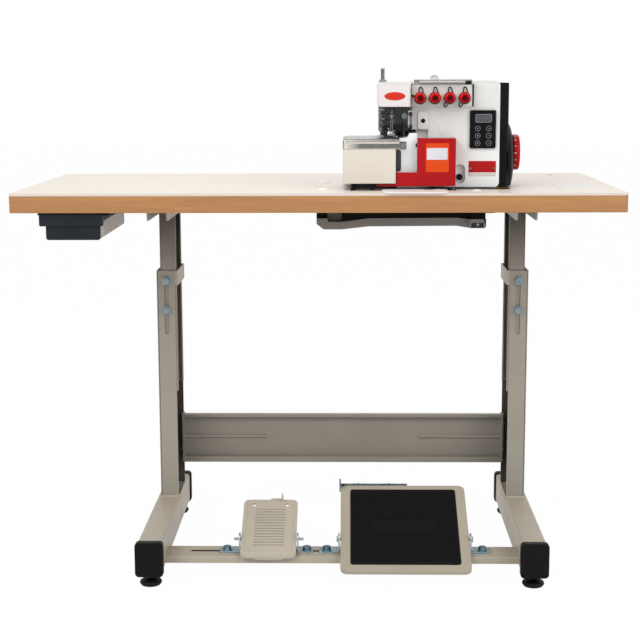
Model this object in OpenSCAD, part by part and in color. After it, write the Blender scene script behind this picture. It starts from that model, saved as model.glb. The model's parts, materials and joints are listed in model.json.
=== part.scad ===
// Overlock sewing machine on a height-adjustable stand with a knee-free treadle pair.
// Millimetres, +Z up. The operator sits towards -Y and the handwheel is towards +X.
// The origin is on the floor, under the middle of the overall box.

/* [Table] */
// Width of the table board
table_w = 1204; // [1190:2:1220]
// Depth of the table board
table_d = 600; // [590:5:605]
// Height of the table top above the floor, with the columns at their top setting
table_h = 790; // [780:1:800]
// Thickness of the table board
board_t = 38; // [36:1:40]
// Plan radius of the table corners
board_r = 9; // [7:1:12]
// Radius of the hole for a thread stand
stand_hole_r = 9.5; // [8:0.5:12]

/* [Stand] */
// Middle of the stand, to the right of the middle of the table
stand_x = 46.5; // [40:0.5:50]
// Half the distance between the foot tubes
tube_dx = 386; // [384:1:388]
// Half the distance between the columns
column_dx = 384; // [382:1:386]
// Height of the top of the outer columns
column_top = 598; // [590:1:605]
// How far the table can come down
height_travel = 48; // [30:1:50]
// Sheet thickness of the outer columns
column_t = 3; // [2.5:0.5:3]

/* [Pedals] */
// Width of the speed treadle
treadle_w = 265; // [255:1:268]
// Tilt of the speed treadle at rest
treadle_tilt = 25; // [24:1:26]
// Tilt of the presser-lift pedal at rest
lift_tilt = 26; // [25:1:27]
// Height of both pedal hinges above the floor
pedal_hinge_z = 71; // [70:0.5:73]
// Radius of the pedal hinge pins
hinge_pin_r = 3; // [2.5:0.5:3]

/* [Machine head] */
// Left edge of the upright body of the head
head_x = 187; // [180:1:190]
// Front face of the upright body of the head
head_y = -164; // [-166:1:-162]
// Height of the head above the table
head_h = 214; // [212:1:216]
// Diameter of the handwheel
wheel_d = 72; // [68:1:74]
// Diameter of the thread tension knobs
knob_d = 24.5; // [22:0.5:26]
// Radial clearance of shafts and pins that turn or slide
fit_gap = 0.05; // [0.02:0.01:0.08]

/* [Hidden] */
$fn = 48;

cream = "#ece4d6";
red = "#b3202b";
black = "#1d1d1f";
khaki = "#a59f94";
pale_khaki = "#bdb6a5";
steel = "#9a9a98";
zinc = "#8fa3b3";
beech = "#c8935f";
slate = "#2d333c";
rubber = "#26272a";

// Overall depth: the board reaches the back, the foot tubes reach the front.
board_y1 = 316;
board_y0 = board_y1 - table_d;
stand_y0 = -316;
board_z0 = table_h - board_t;

// Foot tubes
tube_w = 50;
tube_h = 65;
tube_z = 26;
tube_wall = 2.5;
tube_y1 = 230;
cap_depth = 14;
cap_wall = 3.5;
foot_y = [-290, 206];
stem_r = 5;

// Columns: section centre, and the outer and inner channel sizes
column_y = 86.5;
outer_w = 40;
outer_d = 125;
inner_w = 34;
inner_d = 118;
inner_shift = 5;         // the inner channel sits towards the open side
inner_z0 = 330;
inner_t = 2.5;
bracket_t = 3;
bolt_z = [column_top - 22, column_top - 86];
slot_w = 9.3;
slot_dx = 1.5;
beam_y = [119, 149];
beam_z = [145, 256];
beam_d = 16;
beam_t = 2.5;
beam_bolt_y = beam_y[0] + 23.3;
beam_bolt_z = [beam_z[0] + 25, beam_z[1] - 25];
beam_bolt_r = 3.5;

// Treadle bar and pedal hinge line
bar_y = [-248, -181];
bar_z = [30, 45];
bar_t = 2.5;
hinge_y = -214;
treadle_x = 176.5;
lift_x = -104;
lift_w = 114;

// Head: frame of reference at the lower left corner of the body's front face
head_z = table_h;
needle_x = -40;
needle_y = 6;
shaft_y = 80;
shaft_z = 68.5;
shaft_r = 8;
knob_x = [15.5, 44.4, 73.6, 103.3];
knob_z = 180.3;

// ---------- shared shapes ----------

// Rectangle with round corners, from the origin
module rrect(w, d, r) {
    translate([r, 0]) square([w - 2 * r, d]);
    translate([0, r]) square([w, d - 2 * r]);
    for (x = [r, w - r], y = [r, d - r]) translate([x, y]) circle(r);
}

// Upright plate facing -Y, between two X, two Z and two Y values
module front_plate(x, z, y, r = 2) {
    translate([x[0], y[1], z[0]]) rotate([90, 0, 0])
        linear_extrude(y[1] - y[0]) rrect(x[1] - x[0], z[1] - z[0], r);
}

// Upright plate facing X
module side_plate(x, y, z, r = 2) {
    translate([x[0], y[0], z[0]]) rotate([90, 0, 90])
        linear_extrude(x[1] - x[0]) rrect(y[1] - y[0], z[1] - z[0], r);
}

// Flat plate facing +Z
module flat_plate(x, y, z, r = 2) {
    translate([x[0], y[0], z[0]]) linear_extrude(z[1] - z[0]) rrect(x[1] - x[0], y[1] - y[0], r);
}

// Plain block between two corners
module block(x, y, z) {
    translate([x[0], y[0], z[0]]) cube([x[1] - x[0], y[1] - y[0], z[1] - z[0]]);
}

module cyl_x(x, y, z, r) { translate([x[0], y, z]) rotate([0, 90, 0]) cylinder(h = x[1] - x[0], r = r); }
module cyl_y(x, y, z, r) { translate([x, y[1], z]) rotate([90, 0, 0]) cylinder(h = y[1] - y[0], r = r); }
module cyl_z(x, y, z, r) { translate([x, y, z[0]]) cylinder(h = z[1] - z[0], r = r); }

// Hexagon head with a round flange, pointing along +Z from its seat, and a shank below
module flange_bolt(shank, r = 4, head = 8, flange = 9.7) {
    translate([0, 0, -shank]) cylinder(h = shank + 1, r = r);
    cylinder(h = 2, r = flange);
    translate([0, 0, 2]) cylinder(h = 6, r = head, $fn = 6);
}

// Both sides of the stand: the child is built for the left side about x = 0
module both_sides(dx) {
    translate([stand_x - dx, 0, 0]) children();
    translate([stand_x + dx, 0, 0]) mirror([1, 0, 0]) children();
}

module in_head() { translate([head_x, head_y, head_z]) children(); }

// ---------- stand ----------

module base_tube_profile(grow = 0) {
    translate([-tube_w / 2 - grow, -grow]) rrect(tube_w + 2 * grow, tube_h + 2 * grow, 5 + grow);
}

module base_tubes() {
    y0 = stand_y0 + cap_wall;
    y1 = tube_y1 - cap_wall;
    color(pale_khaki) both_sides(tube_dx) difference() {
        translate([0, y1, tube_z]) rotate([90, 0, 0]) linear_extrude(y1 - y0) difference() {
            base_tube_profile();
            translate([-tube_w / 2 + tube_wall, tube_wall])
                rrect(tube_w - 2 * tube_wall, tube_h - 2 * tube_wall, 2.5);
        }
        for (y = foot_y) cyl_z(0, y, [tube_z - 1, tube_z + tube_wall + 1], stem_r + fit_gap);
    }
}

module tube_end_cap() {
    rotate([90, 0, 0]) {
        linear_extrude(cap_depth) difference() {
            base_tube_profile(cap_wall);
            base_tube_profile();
        }
        translate([0, 0, cap_depth]) linear_extrude(cap_wall) base_tube_profile(cap_wall);
    }
}

module tube_end_caps() {
    color(black) both_sides(tube_dx) {
        translate([0, stand_y0 + cap_wall + cap_depth, tube_z]) tube_end_cap();
        translate([0, tube_y1 - cap_wall - cap_depth, tube_z]) mirror([0, 1, 0]) tube_end_cap();
    }
}

module column_section() {
    difference() {
        union() {
            translate([-outer_w / 2, -outer_d / 2]) rrect(outer_w - 8, outer_d, 5);
            translate([0, -outer_d / 2]) square([outer_w / 2, outer_d]);
        }
        translate([-outer_w / 2 + column_t, -outer_d / 2 + column_t])
            square([outer_w, outer_d - 2 * column_t]);
    }
}

module outer_columns() {
    tab_z = beam_z;
    slot_z = [bolt_z[1] - height_travel - slot_w / 2 - 1, bolt_z[0] + slot_w / 2 + 1];
    color(khaki) both_sides(column_dx) difference() {
        union() {
            translate([0, column_y, tube_z + tube_h]) linear_extrude(column_top - tube_z - tube_h) column_section();
            block([outer_w / 2 - column_t, outer_w / 2], [beam_y[0] + 8, column_y + outer_d / 2], tab_z);
        }
        translate([slot_dx - slot_w / 2, column_y - outer_d / 2 + column_t + 1, slot_z[0]]) rotate([90, 0, 0])
            linear_extrude(column_t + 2) rrect(slot_w, slot_z[1] - slot_z[0], slot_w / 2 - 0.01);
        for (z = beam_bolt_z) cyl_x([0, outer_w], beam_bolt_y, z, beam_bolt_r);
    }
}

module column_straps() {
    z = [column_top - 32, column_top + 1];
    y = [column_y - outer_d / 2, column_y + outer_d / 2];
    color(pale_khaki) both_sides(column_dx) difference() {
        side_plate([outer_w / 2, outer_w / 2 + 7], y, z, 1.5);
        block([outer_w / 2 - 1, outer_w / 2 + 4.5], [y[0] + column_t, y[1] - column_t], [z[0] - 1, z[1] + 1]);
    }
}

// Lipped channel with its web at the rear; 2-D x is depth, 2-D y is height
module beam_section() {
    h = beam_z[1] - beam_z[0];
    top_lip = 6;
    bottom_lip = 13;
    translate([beam_d - beam_t, 0]) square([beam_t, h]);
    translate([0, h - beam_t]) square([beam_d, beam_t]);
    translate([0, h - top_lip]) square([beam_t, top_lip]);
    square([beam_d, beam_t]);
    square([beam_t, bottom_lip]);
}

module cross_beam() {
    x0 = stand_x - column_dx + outer_w / 2;
    x1 = stand_x + column_dx - outer_w / 2;
    end_t = 3;
    bead_z = beam_z[0] + 57.5;
    bead_run = 190;
    bead_r = 4;
    bead_y = beam_y[0] + beam_d - beam_t;
    color(khaki) difference() {
        union() {
            translate([x0 + end_t, beam_y[0], beam_z[0]]) rotate([90, 0, 90])
                linear_extrude(x1 - x0 - 2 * end_t) beam_section();
            block([x0, x0 + end_t], beam_y, beam_z);
            block([x1 - end_t, x1], beam_y, beam_z);
            // pressed beads in the web
            cyl_x([x0 + end_t, x0 + bead_run], bead_y, bead_z, bead_r);
            cyl_x([x1 - bead_run, x1 - end_t], bead_y, bead_z, bead_r);
        }
        for (x = [x0 - 1, x1 - end_t - 1], z = beam_bolt_z) cyl_x([x, x + end_t + 2], beam_bolt_y, z, beam_bolt_r);
    }
}

module treadle_bar() {
    x0 = stand_x - tube_dx + tube_w / 2;
    x1 = stand_x + tube_dx - tube_w / 2;
    d = bar_y[1] - bar_y[0];
    h = bar_z[1] - bar_z[0];
    color(pale_khaki) difference() {
        translate([x0, bar_y[0], bar_z[0]]) rotate([90, 0, 90]) linear_extrude(x1 - x0) difference() {
            union() {
                translate([0, h - 8]) rrect(d, 8, 2.5);
                square([d, h - 4]);
            }
            translate([bar_t, -1]) square([d - 2 * bar_t, h - bar_t + 1]);
        }
        flat_plate([-266, 352], [hinge_y - 4.5, hinge_y + 4.5], [bar_z[1] - bar_t - 1, bar_z[1] + 1], 4.49);
    }
}

// L-shaped hinge bracket: foot on the bar, upright face at x = 0, foot towards -X
module pedal_bracket(foot, bolt_in) {
    t = bracket_t;
    z = bar_z[1];
    difference() {
        union() {
            flat_plate([-foot, 0], [hinge_y - 15, hinge_y + 15], [z, z + t], 4);
            block([-t - 4, 0], [hinge_y - 15, hinge_y + 15], [z, z + t]);
            side_plate([-t, 0], [hinge_y - 13, hinge_y + 13], [z + 1, pedal_hinge_z + 13], 12.9);
            block([-t, 0], [hinge_y - 13, hinge_y + 13], [z, z + 14]);
        }
        cyl_x([-t - 1, 1], hinge_y, pedal_hinge_z, hinge_pin_r + fit_gap);
        cyl_z(-bolt_in, hinge_y, [z - 1, z + t + 1], 4);
    }
}

// Feet of the four brackets, left to right: length and distance of the bolt from the upright face
pedal_gap = 1.5;
bracket_feet = [[43, 28], [33, 20], [43, 27], [43, 26]];
bracket_x = [lift_x - lift_w / 2 - pedal_gap, lift_x + lift_w / 2 + pedal_gap,
             treadle_x - treadle_w / 2 - pedal_gap, treadle_x + treadle_w / 2 + pedal_gap];

module pedal_brackets() {
    color(zinc) for (i = [0 : 3])
        translate([bracket_x[i], 0, 0]) mirror([i % 2, 0, 0]) pedal_bracket(bracket_feet[i][0], bracket_feet[i][1]);
}

module stand_bolts() {
    color(zinc) {
        for (i = [0 : 3]) translate([bracket_x[i] + (i % 2 == 0 ? -1 : 1) * bracket_feet[i][1], hinge_y, bar_z[1] + bracket_t])
            flange_bolt(14);
        both_sides(column_dx) for (z = beam_bolt_z)
            translate([outer_w / 2 + 3, beam_bolt_y, z]) rotate([0, 90, 0]) flange_bolt(10, beam_bolt_r, 5.5, 6.7);
    }
}

module leveling_foot(side, y) {
    color(black) translate([stand_x + side * tube_dx, y, 0]) {
        rotate_extrude() polygon([[0, 0], [19, 0], [22, 4], [22.5, 6], [21, 9], [14, 13], [8, 15], [0, 15]]);
        translate([0, 0, 14]) cylinder(h = 8, r = 9.5, $fn = 6);
        translate([0, 0, 22]) cylinder(h = 38, r = stem_r);
    }
}
module foot_front_left() { leveling_foot(-1, foot_y[0]); }
module foot_front_right() { leveling_foot(1, foot_y[0]); }
module foot_rear_left() { leveling_foot(-1, foot_y[1]); }
module foot_rear_right() { leveling_foot(1, foot_y[1]); }

// ---------- pedals ----------

// Frame of the speed treadle: x across, y along from front to rear, hinge at the origin
treadle_y = [-99, 163];
treadle_t = 8;
mat_x = treadle_w / 2 - 20.5;
mat_y = [-79, 149];

module on_treadle() {
    translate([treadle_x, hinge_y, pedal_hinge_z]) rotate([treadle_tilt, 0, 0]) children();
}

module treadle_frame() {
    w = treadle_w / 2;
    h = treadle_t / 2;
    color(pale_khaki) on_treadle() difference() {
        union() {
            flat_plate([-w, w], treadle_y, [-h, h], 14);
            cyl_x([-w - 8, -w + 4], 0, 0, hinge_pin_r);
            cyl_x([w - 4, w + 8], 0, 0, hinge_pin_r);
            cyl_x([-w - 8, -w - 5], 0, 0, 6);
            cyl_x([w + 5, w + 8], 0, 0, 6);
        }
        flat_plate([-mat_x, mat_x], mat_y, [h - 3, h + 1], 6);
        flat_plate([-w + 5, w - 5], [treadle_y[0] + 5, treadle_y[1] - 5], [-h - 1, -h + 2.5], 9);
    }
}

// Rubber mat with cross ribs and a plain sunken field in the middle
module treadle_mat() {
    h = treadle_t / 2;
    ribs = 36;
    pitch = (mat_y[1] - mat_y[0] - 8) / ribs;
    field = [[-58, 60], [23, 57]];
    color(rubber) on_treadle() difference() {
        flat_plate([-mat_x, mat_x], mat_y, [h - 3, h + 1], 6);
        for (i = [1 : ribs - 1]) {
            y = mat_y[0] + 4 + i * pitch;
            if (y > field[1][0] - 2 && y < field[1][1] + 2)
                for (side = [-1, 1]) translate([side * (mat_x + 60) / 2, y, h + 1])
                    cube([mat_x - 68, pitch * 0.4, 1.2], center = true);
            else
                translate([0, y, h + 1]) cube([2 * mat_x - 8, pitch * 0.4, 1.2], center = true);
        }
        flat_plate(field[0], field[1], [h + 0.3, h + 2], 1);
    }
}

// Zinc strip along the left of the rear edge, with an upright eye for the control rod
module treadle_rod_plate() {
    w = treadle_w / 2;
    h = treadle_t / 2;
    color(zinc) on_treadle() {
        block([-w - 3, 10], [treadle_y[1], treadle_y[1] + 3], [-h - 6, h + 3]);
        for (x = [-w + 38, -w + 104]) cyl_z(x, treadle_y[1] + 1.5, [h + 3, h + 5], 1.5);
        difference() {
            block([-w - 3, -w], [treadle_y[1] - 12, treadle_y[1] + 3], [-h, h + 16]);
            cyl_x([-w - 4, -w + 1], treadle_y[1] - 4.5, h + 10, 2.5);
        }
    }
}

lift_y = [-54, 115];

module on_lift_pedal() {
    translate([lift_x, hinge_y, pedal_hinge_z]) rotate([lift_tilt, 0, 0]) children();
}

module lift_pedal() {
    w = lift_w / 2;
    h = 3.5;
    ribs = 14;
    rib_depth = 2.2;
    color(pale_khaki) on_lift_pedal() difference() {
        union() {
            flat_plate([-w, w], lift_y, [-h, h], 12);
            // sloping front lip
            translate([0, lift_y[0] + 2, h - 0.5]) rotate([90, 0, 0]) linear_extrude(3)
                polygon([[-w + 8, 0], [w - 8, 0], [24, -9], [-24, -9]]);
            cyl_x([-w - 15, w + 15], 0, 0, hinge_pin_r);
            // rear hook for the presser-lift rod
            block([0, 26], [lift_y[1] - 1, lift_y[1] + 3], [-h, h + 1]);
            block([23, 26], [lift_y[1] - 6, lift_y[1] + 3], [h - 1, h + 15]);
        }
        // sunken tread with ribs left standing
        for (i = [0 : ribs - 1]) translate([0, lift_y[0] + 32 + i * 8.2, h])
            cube([62, 3.4, 2 * rib_depth], center = true);
        for (x = [-w + 22, w - 22]) translate([x, lift_y[1] - 16, -h - 1]) cylinder(h = 2 * h + 2, r = 4.5);
        flat_plate([-w + 4, w - 4], [lift_y[0] + 6, -5], [-h - 1, -h + 3], 5);
        flat_plate([-w + 4, w - 4], [5, lift_y[1] - 4], [-h - 1, -h + 3], 5);
    }
}

// ---------- table ----------

// Stepped opening that the machine head sinks into
cut_x = [65, 275, 385];
cut_y = [-217, -191, 6];
frame_bolt_at = [[9, -200], [313, -232], [9, 12], [320, 12]];

module board_outline(inset = 0) {
    translate([-table_w / 2 + inset, board_y0 + inset])
        rrect(table_w - 2 * inset, table_d - 2 * inset, board_r - inset);
}

band_t = 2;
laminate_t = 5;

module table_board() {
    color(cream) difference() {
        union() {
            translate([0, 0, board_z0]) linear_extrude(board_t) board_outline(band_t);
            translate([0, 0, table_h - laminate_t]) linear_extrude(laminate_t) board_outline();
        }
        block([cut_x[0], cut_x[1]], [cut_y[0], cut_y[2]], [board_z0 - 1, table_h + 1]);
        block([cut_x[1] - 1, cut_x[2]], [cut_y[1], cut_y[2]], [board_z0 - 1, table_h + 1]);
        cyl_z(521, 244, [board_z0 - 1, table_h + 1], stand_hole_r);
        for (p = frame_bolt_at) cyl_z(p[0], p[1], [board_z0 - 1, table_h + 1], 5);
    }
}

module edge_band() {
    color(beech) translate([0, 0, board_z0]) linear_extrude(board_t - laminate_t) difference() {
        board_outline();
        board_outline(band_t);
    }
}

// Loose filler piece with round ends and a finger notch in its back edge
module table_insert() {
    x = [126, 256];
    y = [-292, -208];
    color("white") translate([0, 0, table_h]) linear_extrude(2) difference() {
        translate([x[0], y[0]]) rrect(x[1] - x[0], y[1] - y[0], 20);
        translate([221, y[1]]) circle(12);
    }
}

module inner_section() {
    x0 = -inner_w / 2;
    difference() {
        translate([x0, -inner_d / 2]) rrect(inner_w, inner_d, 4);
        translate([x0 + inner_t, -inner_d / 2 + inner_t]) square([inner_w - 2 * inner_t, inner_d - 2 * inner_t]);
        translate([0, -inner_d / 2 + 16]) square([inner_w, inner_d - 32]);
    }
}

module inner_columns() {
    color(khaki) both_sides(column_dx) difference() {
        translate([inner_shift, column_y, inner_z0])
            linear_extrude(board_z0 - bracket_t - inner_z0) inner_section();
        for (z = bolt_z) cyl_y(slot_dx, [column_y - outer_d / 2, column_y - outer_d / 2 + 12], z, 4);
    }
}

module column_bolts() {
    gap = 0.3;
    color(zinc) both_sides(column_dx) for (z = bolt_z)
        translate([slot_dx, column_y - outer_d / 2 - gap, z]) rotate([90, 0, 0]) flange_bolt(12);
}

module table_brackets() {
    y = [-134, 262];
    w = 43;
    h = 31;
    color(khaki) both_sides(column_dx) translate([inner_shift, 0, 0]) difference() {
        union() {
            block([-w / 2, w / 2], y, [board_z0 - bracket_t, board_z0]);
            for (s = [-1, 1]) translate([s * (w / 2 - bracket_t / 2) - bracket_t / 2, 0, board_z0])
                rotate([90, 0, 90]) linear_extrude(bracket_t)
                    polygon([[y[0], 0], [y[1], 0], [y[1] - 8, -h], [y[0] + 14, -h],
                             [y[0] + 9, -h + 1], [y[0] + 6, -h + 4], [y[0] + 4, -h + 9]]);
        }
        for (yy = [y[0] + 30, y[1] - 30]) cyl_z(0, yy, [board_z0 - h - 1, board_z0 + 1], 4);
    }
}

rail_y = [-218, -196];
rail_z = [board_z0 - 24, board_z0 - 16];
cross_rail_x = [-3, 72, 316];
rail_w = 18;

// Front rail of the frame that carries the head, cranked at both ends
module front_rail() {
    translate([0, rail_y[1], 0]) rotate([90, 0, 0]) linear_extrude(rail_y[1] - rail_y[0])
        polygon([[-3, 735], [-3, 724], [11, 713], [47, 713], [101, 719], [275, 720], [299, 716],
                 [334, 718], [334, 733], [300, 733], [276, 736], [101, 735], [47, 728], [20, 728], [18, 735]]);
}

module support_frame() {
    color(steel) difference() {
        union() {
            front_rail();
            for (x = cross_rail_x) block([x, x + rail_w], [rail_y[1] - 1, 21], rail_z);
            block([cross_rail_x[0], cross_rail_x[2] + rail_w], [3, 21], rail_z);
            // ear in front of the rail, under the front right bolt
            block([304, 330], [-243, rail_y[0]], [718, 727]);
            // posts that reach up to the board around each bolt
            for (p = frame_bolt_at) cyl_z(p[0], p[1], [p[1] < -220 ? 726 : rail_z[1] - 5, board_z0], 9);
        }
        for (p = frame_bolt_at) cyl_z(p[0], p[1], [700, board_z0 + 1], 5);
    }
}

module frame_bolts() {
    color("#c9ccd0") for (p = frame_bolt_at) translate([p[0], p[1], 0]) {
        cyl_z(0, 0, [board_z0 - 24, table_h], 5);
        translate([0, 0, table_h]) cylinder(h = 1.2, r = 12);
        translate([0, 0, table_h + 1.2]) cylinder(h = 1.8, r1 = 10, r2 = 7);
    }
}

// ---------- drawer ----------

drawer_x = [-530, -428];
drawer_y = [-263, 55];
drawer_z = [699, 741];

module drawer_rails() {
    rail_run = [drawer_y[0] + 0.5, drawer_y[1] + 6];
    color(black) for (side = [0, 1]) translate([side == 0 ? drawer_x[0] - 6 : drawer_x[1] + 6, 0, 0])
        mirror([side, 0, 0]) {
            block([-14, 0.5], rail_run, [board_z0 - 6, board_z0]);
            block([0, 3], rail_run, [734, board_z0]);
            block([3, 12], rail_run, [board_z0 - 3, board_z0]);
            block([3, 5.4], rail_run, [734, 736]);
        }
}

module drawer_tray() {
    t = 2.5;
    color("#8d8a86") difference() {
        union() {
            flat_plate(drawer_x, drawer_y, [drawer_z[0], drawer_z[1]], 6);
            for (x = [drawer_x[0] - 2.6, drawer_x[1] - 1.4]) block([x, x + 4], [drawer_y[0] + 8, drawer_y[1] - 8], [737, drawer_z[1]]);
        }
        flat_plate([drawer_x[0] + t, drawer_x[1] - t], [drawer_y[0] + t, drawer_y[1] - t],
                   [drawer_z[0] + t, drawer_z[1] + 1], 4);
    }
}

module drawer_front() {
    color(slate) {
        front_plate([-545, -420], [725.5, 749], [-275, drawer_y[0]], 3);
        difference() {
            front_plate([-533, -426], [drawer_z[0] - 1, 729], [-270, drawer_y[0]], 5);
            block([-546, -419], [-276, drawer_y[0] + 1], [725.5, 730]);
        }
    }
}

// ---------- machine head: base ----------

pan_z = [-48, 3];

// Cushions between the support frame and the tub of the head
module rubber_mounts() {
    z = [rail_z[1], head_z + pan_z[0]];
    pan_front = head_y + pan_y[0];
    color(rubber) {
        for (x = [cross_rail_x[1] + 9, cross_rail_x[2] + 9], y = [-175, -20]) cyl_z(x, y, z, 8.5);
        // strip and blocks that fill the space between the front rail and the board
        translate([0, pan_front - 1, 0]) rotate([90, 0, 0]) linear_extrude(8)
            polygon([[47, 728], [101, 735], [276, 736], [300, 733], [330, 733], [330, board_z0], [47, board_z0]]);
        difference() {
            union() {
                block([-3, 18], [-214, -198], [735, board_z0]);
                block([302, 330], [-243, rail_y[0]], [727, board_z0]);
            }
            for (p = frame_bolt_at) cyl_z(p[0], p[1], [700, board_z0 + 1], 9);
        }
    }
}

pan_x = [-121, 86, 168];
pan_y = [-43, -23, 163];

module pan_outline(t = 0) {
    translate([pan_x[0] + t, pan_y[1] + t]) rrect(pan_x[2] - pan_x[0] - 2 * t, pan_y[2] - pan_y[1] - 2 * t, 6);
    translate([pan_x[0] + t, pan_y[0] + t]) rrect(pan_x[1] - pan_x[0] - 2 * t, 60, 6);
}

// Oil tub under the head, sunk into the opening of the board, with a step in its front like the opening
module base_pan() {
    wall = 4;
    color(black) in_head() {
        difference() {
            translate([0, 0, pan_z[0]]) linear_extrude(pan_z[1] - pan_z[0]) pan_outline();
            translate([0, 0, pan_z[0] + wall]) linear_extrude(pan_z[1] - pan_z[0]) pan_outline(wall);
        }
    }
}

// ---------- machine head: castings ----------

body_x = [0, 176];
body_y = [0, 170];
body_z = [3, head_h];
body_t = 5;
arm_x = [-67, -3];
arm_y = [-26, 162];
arm_z = [163, head_h - 2];
bed_top = 103;
presser_at = [-58, 14];
needle_bar_r = 3.5;
presser_bar_r = 4;
screw_r = 4.25;
screw_gap = 0.09;
bearing_r = 17;
bearing_x = [[34, 44], [113, 123]];
button_at = [97, 22.6];
button_r = 6.2;
pocket_r = 11;
neck_x = 33;
neck_z = 118;

module body_solid() {
    intersection() {
        front_plate(body_x, body_z, body_y, 9);
        side_plate(body_x, body_y, [body_z[0] - 30, body_z[1]], 12);
        union() {
            block([body_x[0], body_x[1]], body_y, [neck_z, body_z[1]]);
            block([neck_x, body_x[1]], body_y, [body_z[0], neck_z]);
            block([body_x[0], body_x[1]], [122, body_y[1]], [body_z[0], neck_z]);
        }
    }
}

module body_cavity() {
    t = body_t;
    block([t, body_x[1] - t], [t, body_y[1] - t], [neck_z + t, body_z[1] - t]);
    block([neck_x + t, body_x[1] - t], [t, body_y[1] - t], [body_z[0] + t, neck_z + t + 1]);
    block([body_x[1] - t - 1, body_x[1] + 1], [12, 158], [12, 196]);
}

module head_casting() {
    color(cream) in_head() difference() {
        union() {
            difference() {
                body_solid();
                body_cavity();
            }
            // arm over the needle
            difference() {
                intersection() {
                    front_plate([arm_x[0], 1], arm_z, arm_y, 5);
                    side_plate([arm_x[0], 1], arm_y, [arm_z[0] - 30, arm_z[1]], 8);
                }
                block([arm_x[0] + 4, 2], [arm_y[0] + 5, arm_y[1] - 5], [arm_z[0] + 5, arm_z[1] - 5]);
                block([arm_x[1], 2], [arm_y[0] - 1, -0.01], [arm_z[0] - 1, arm_z[1] + 1]);
            }
            // bearing seats and bulkhead of the main shaft
            cyl_x([neck_x + 1, 45], shaft_y, shaft_z, bearing_r + 5);
            cyl_x([112, 124], shaft_y, shaft_z, bearing_r + 5);
            block([112, 117], [2, 168], [5, 206]);
            // backing of the stitch button pocket
            block([button_at[0] - 14, button_at[0] + 14], [1, 17], [5, 54]);
        }
        for (b = bearing_x) cyl_x([b[0] - 12, b[1] + 12], shaft_y, shaft_z, bearing_r);
        // openings of the arm for the needle bar, the presser bar and the pressure screw
        cyl_z(needle_x, needle_y, [arm_z[0] - 1, arm_z[0] + 6], needle_bar_r + fit_gap);
        cyl_z(presser_at[0], presser_at[1], [arm_z[0] - 1, arm_z[0] + 6], presser_bar_r + fit_gap);
        cyl_z(presser_at[0], presser_at[1], [arm_z[1] - 6, arm_z[1] + 1], screw_r + screw_gap);
        // stitch button pocket with a round top, and the bore of its button
        front_plate([button_at[0] - pocket_r, button_at[0] + pocket_r], [10, 49], [-1, 12], pocket_r - 0.01);
        cyl_y(button_at[0], [11, 18], button_at[1], button_r + fit_gap);
    }
}

// Dark inner frame behind the needle, with the hinge of the eye guard at its right
guard_hinge = [-3, -27];
guard_z = [127, 161];
guard_curve = [-50, 216.5, 89.5];   // centre and radius of the guard's lower edge

module arm_frame() {
    color("#3a3a3c") in_head() {
        block([arm_x[0] + 3, arm_x[1]], [24, 150], [arm_z[0] - 50, arm_z[0]]);
        block([-33, arm_x[1]], [60, 150], [bed_top, arm_z[0] - 49]);
        block([-13.9, -5], [-19.9, 24], [arm_z[0] - 45, arm_z[0]]);
        for (z = [[121, 127.7], [146.3, 153]]) {
            block([-6.5, -0.5], [guard_hinge[1], -19.9], z);
            cyl_z(guard_hinge[0], guard_hinge[1], z, 3);
        }
        cyl_z(guard_hinge[0], guard_hinge[1], [121, 153], 1.5);
    }
}

bed_hinge = [-131.5, 86];
wall_x = [-30, 10];
rear_y = [93, 120];
ledge_z = 102;              // top of the casting in front of the needle plate
ledge_r = 10;
cover_hinge = [-36, 9.8];
cover_lug_x = [-10, 40, 76];
cover_lug_w = 5;
cover_lug_r = 1.65;
cover_pin_r = 1.25;
lug_z = [cover_hinge[1] - cover_lug_r, cover_hinge[1] + cover_lug_r];
looper_shaft = [[-44, 30], [-32, 42]];
looper_r = 4;

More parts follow.
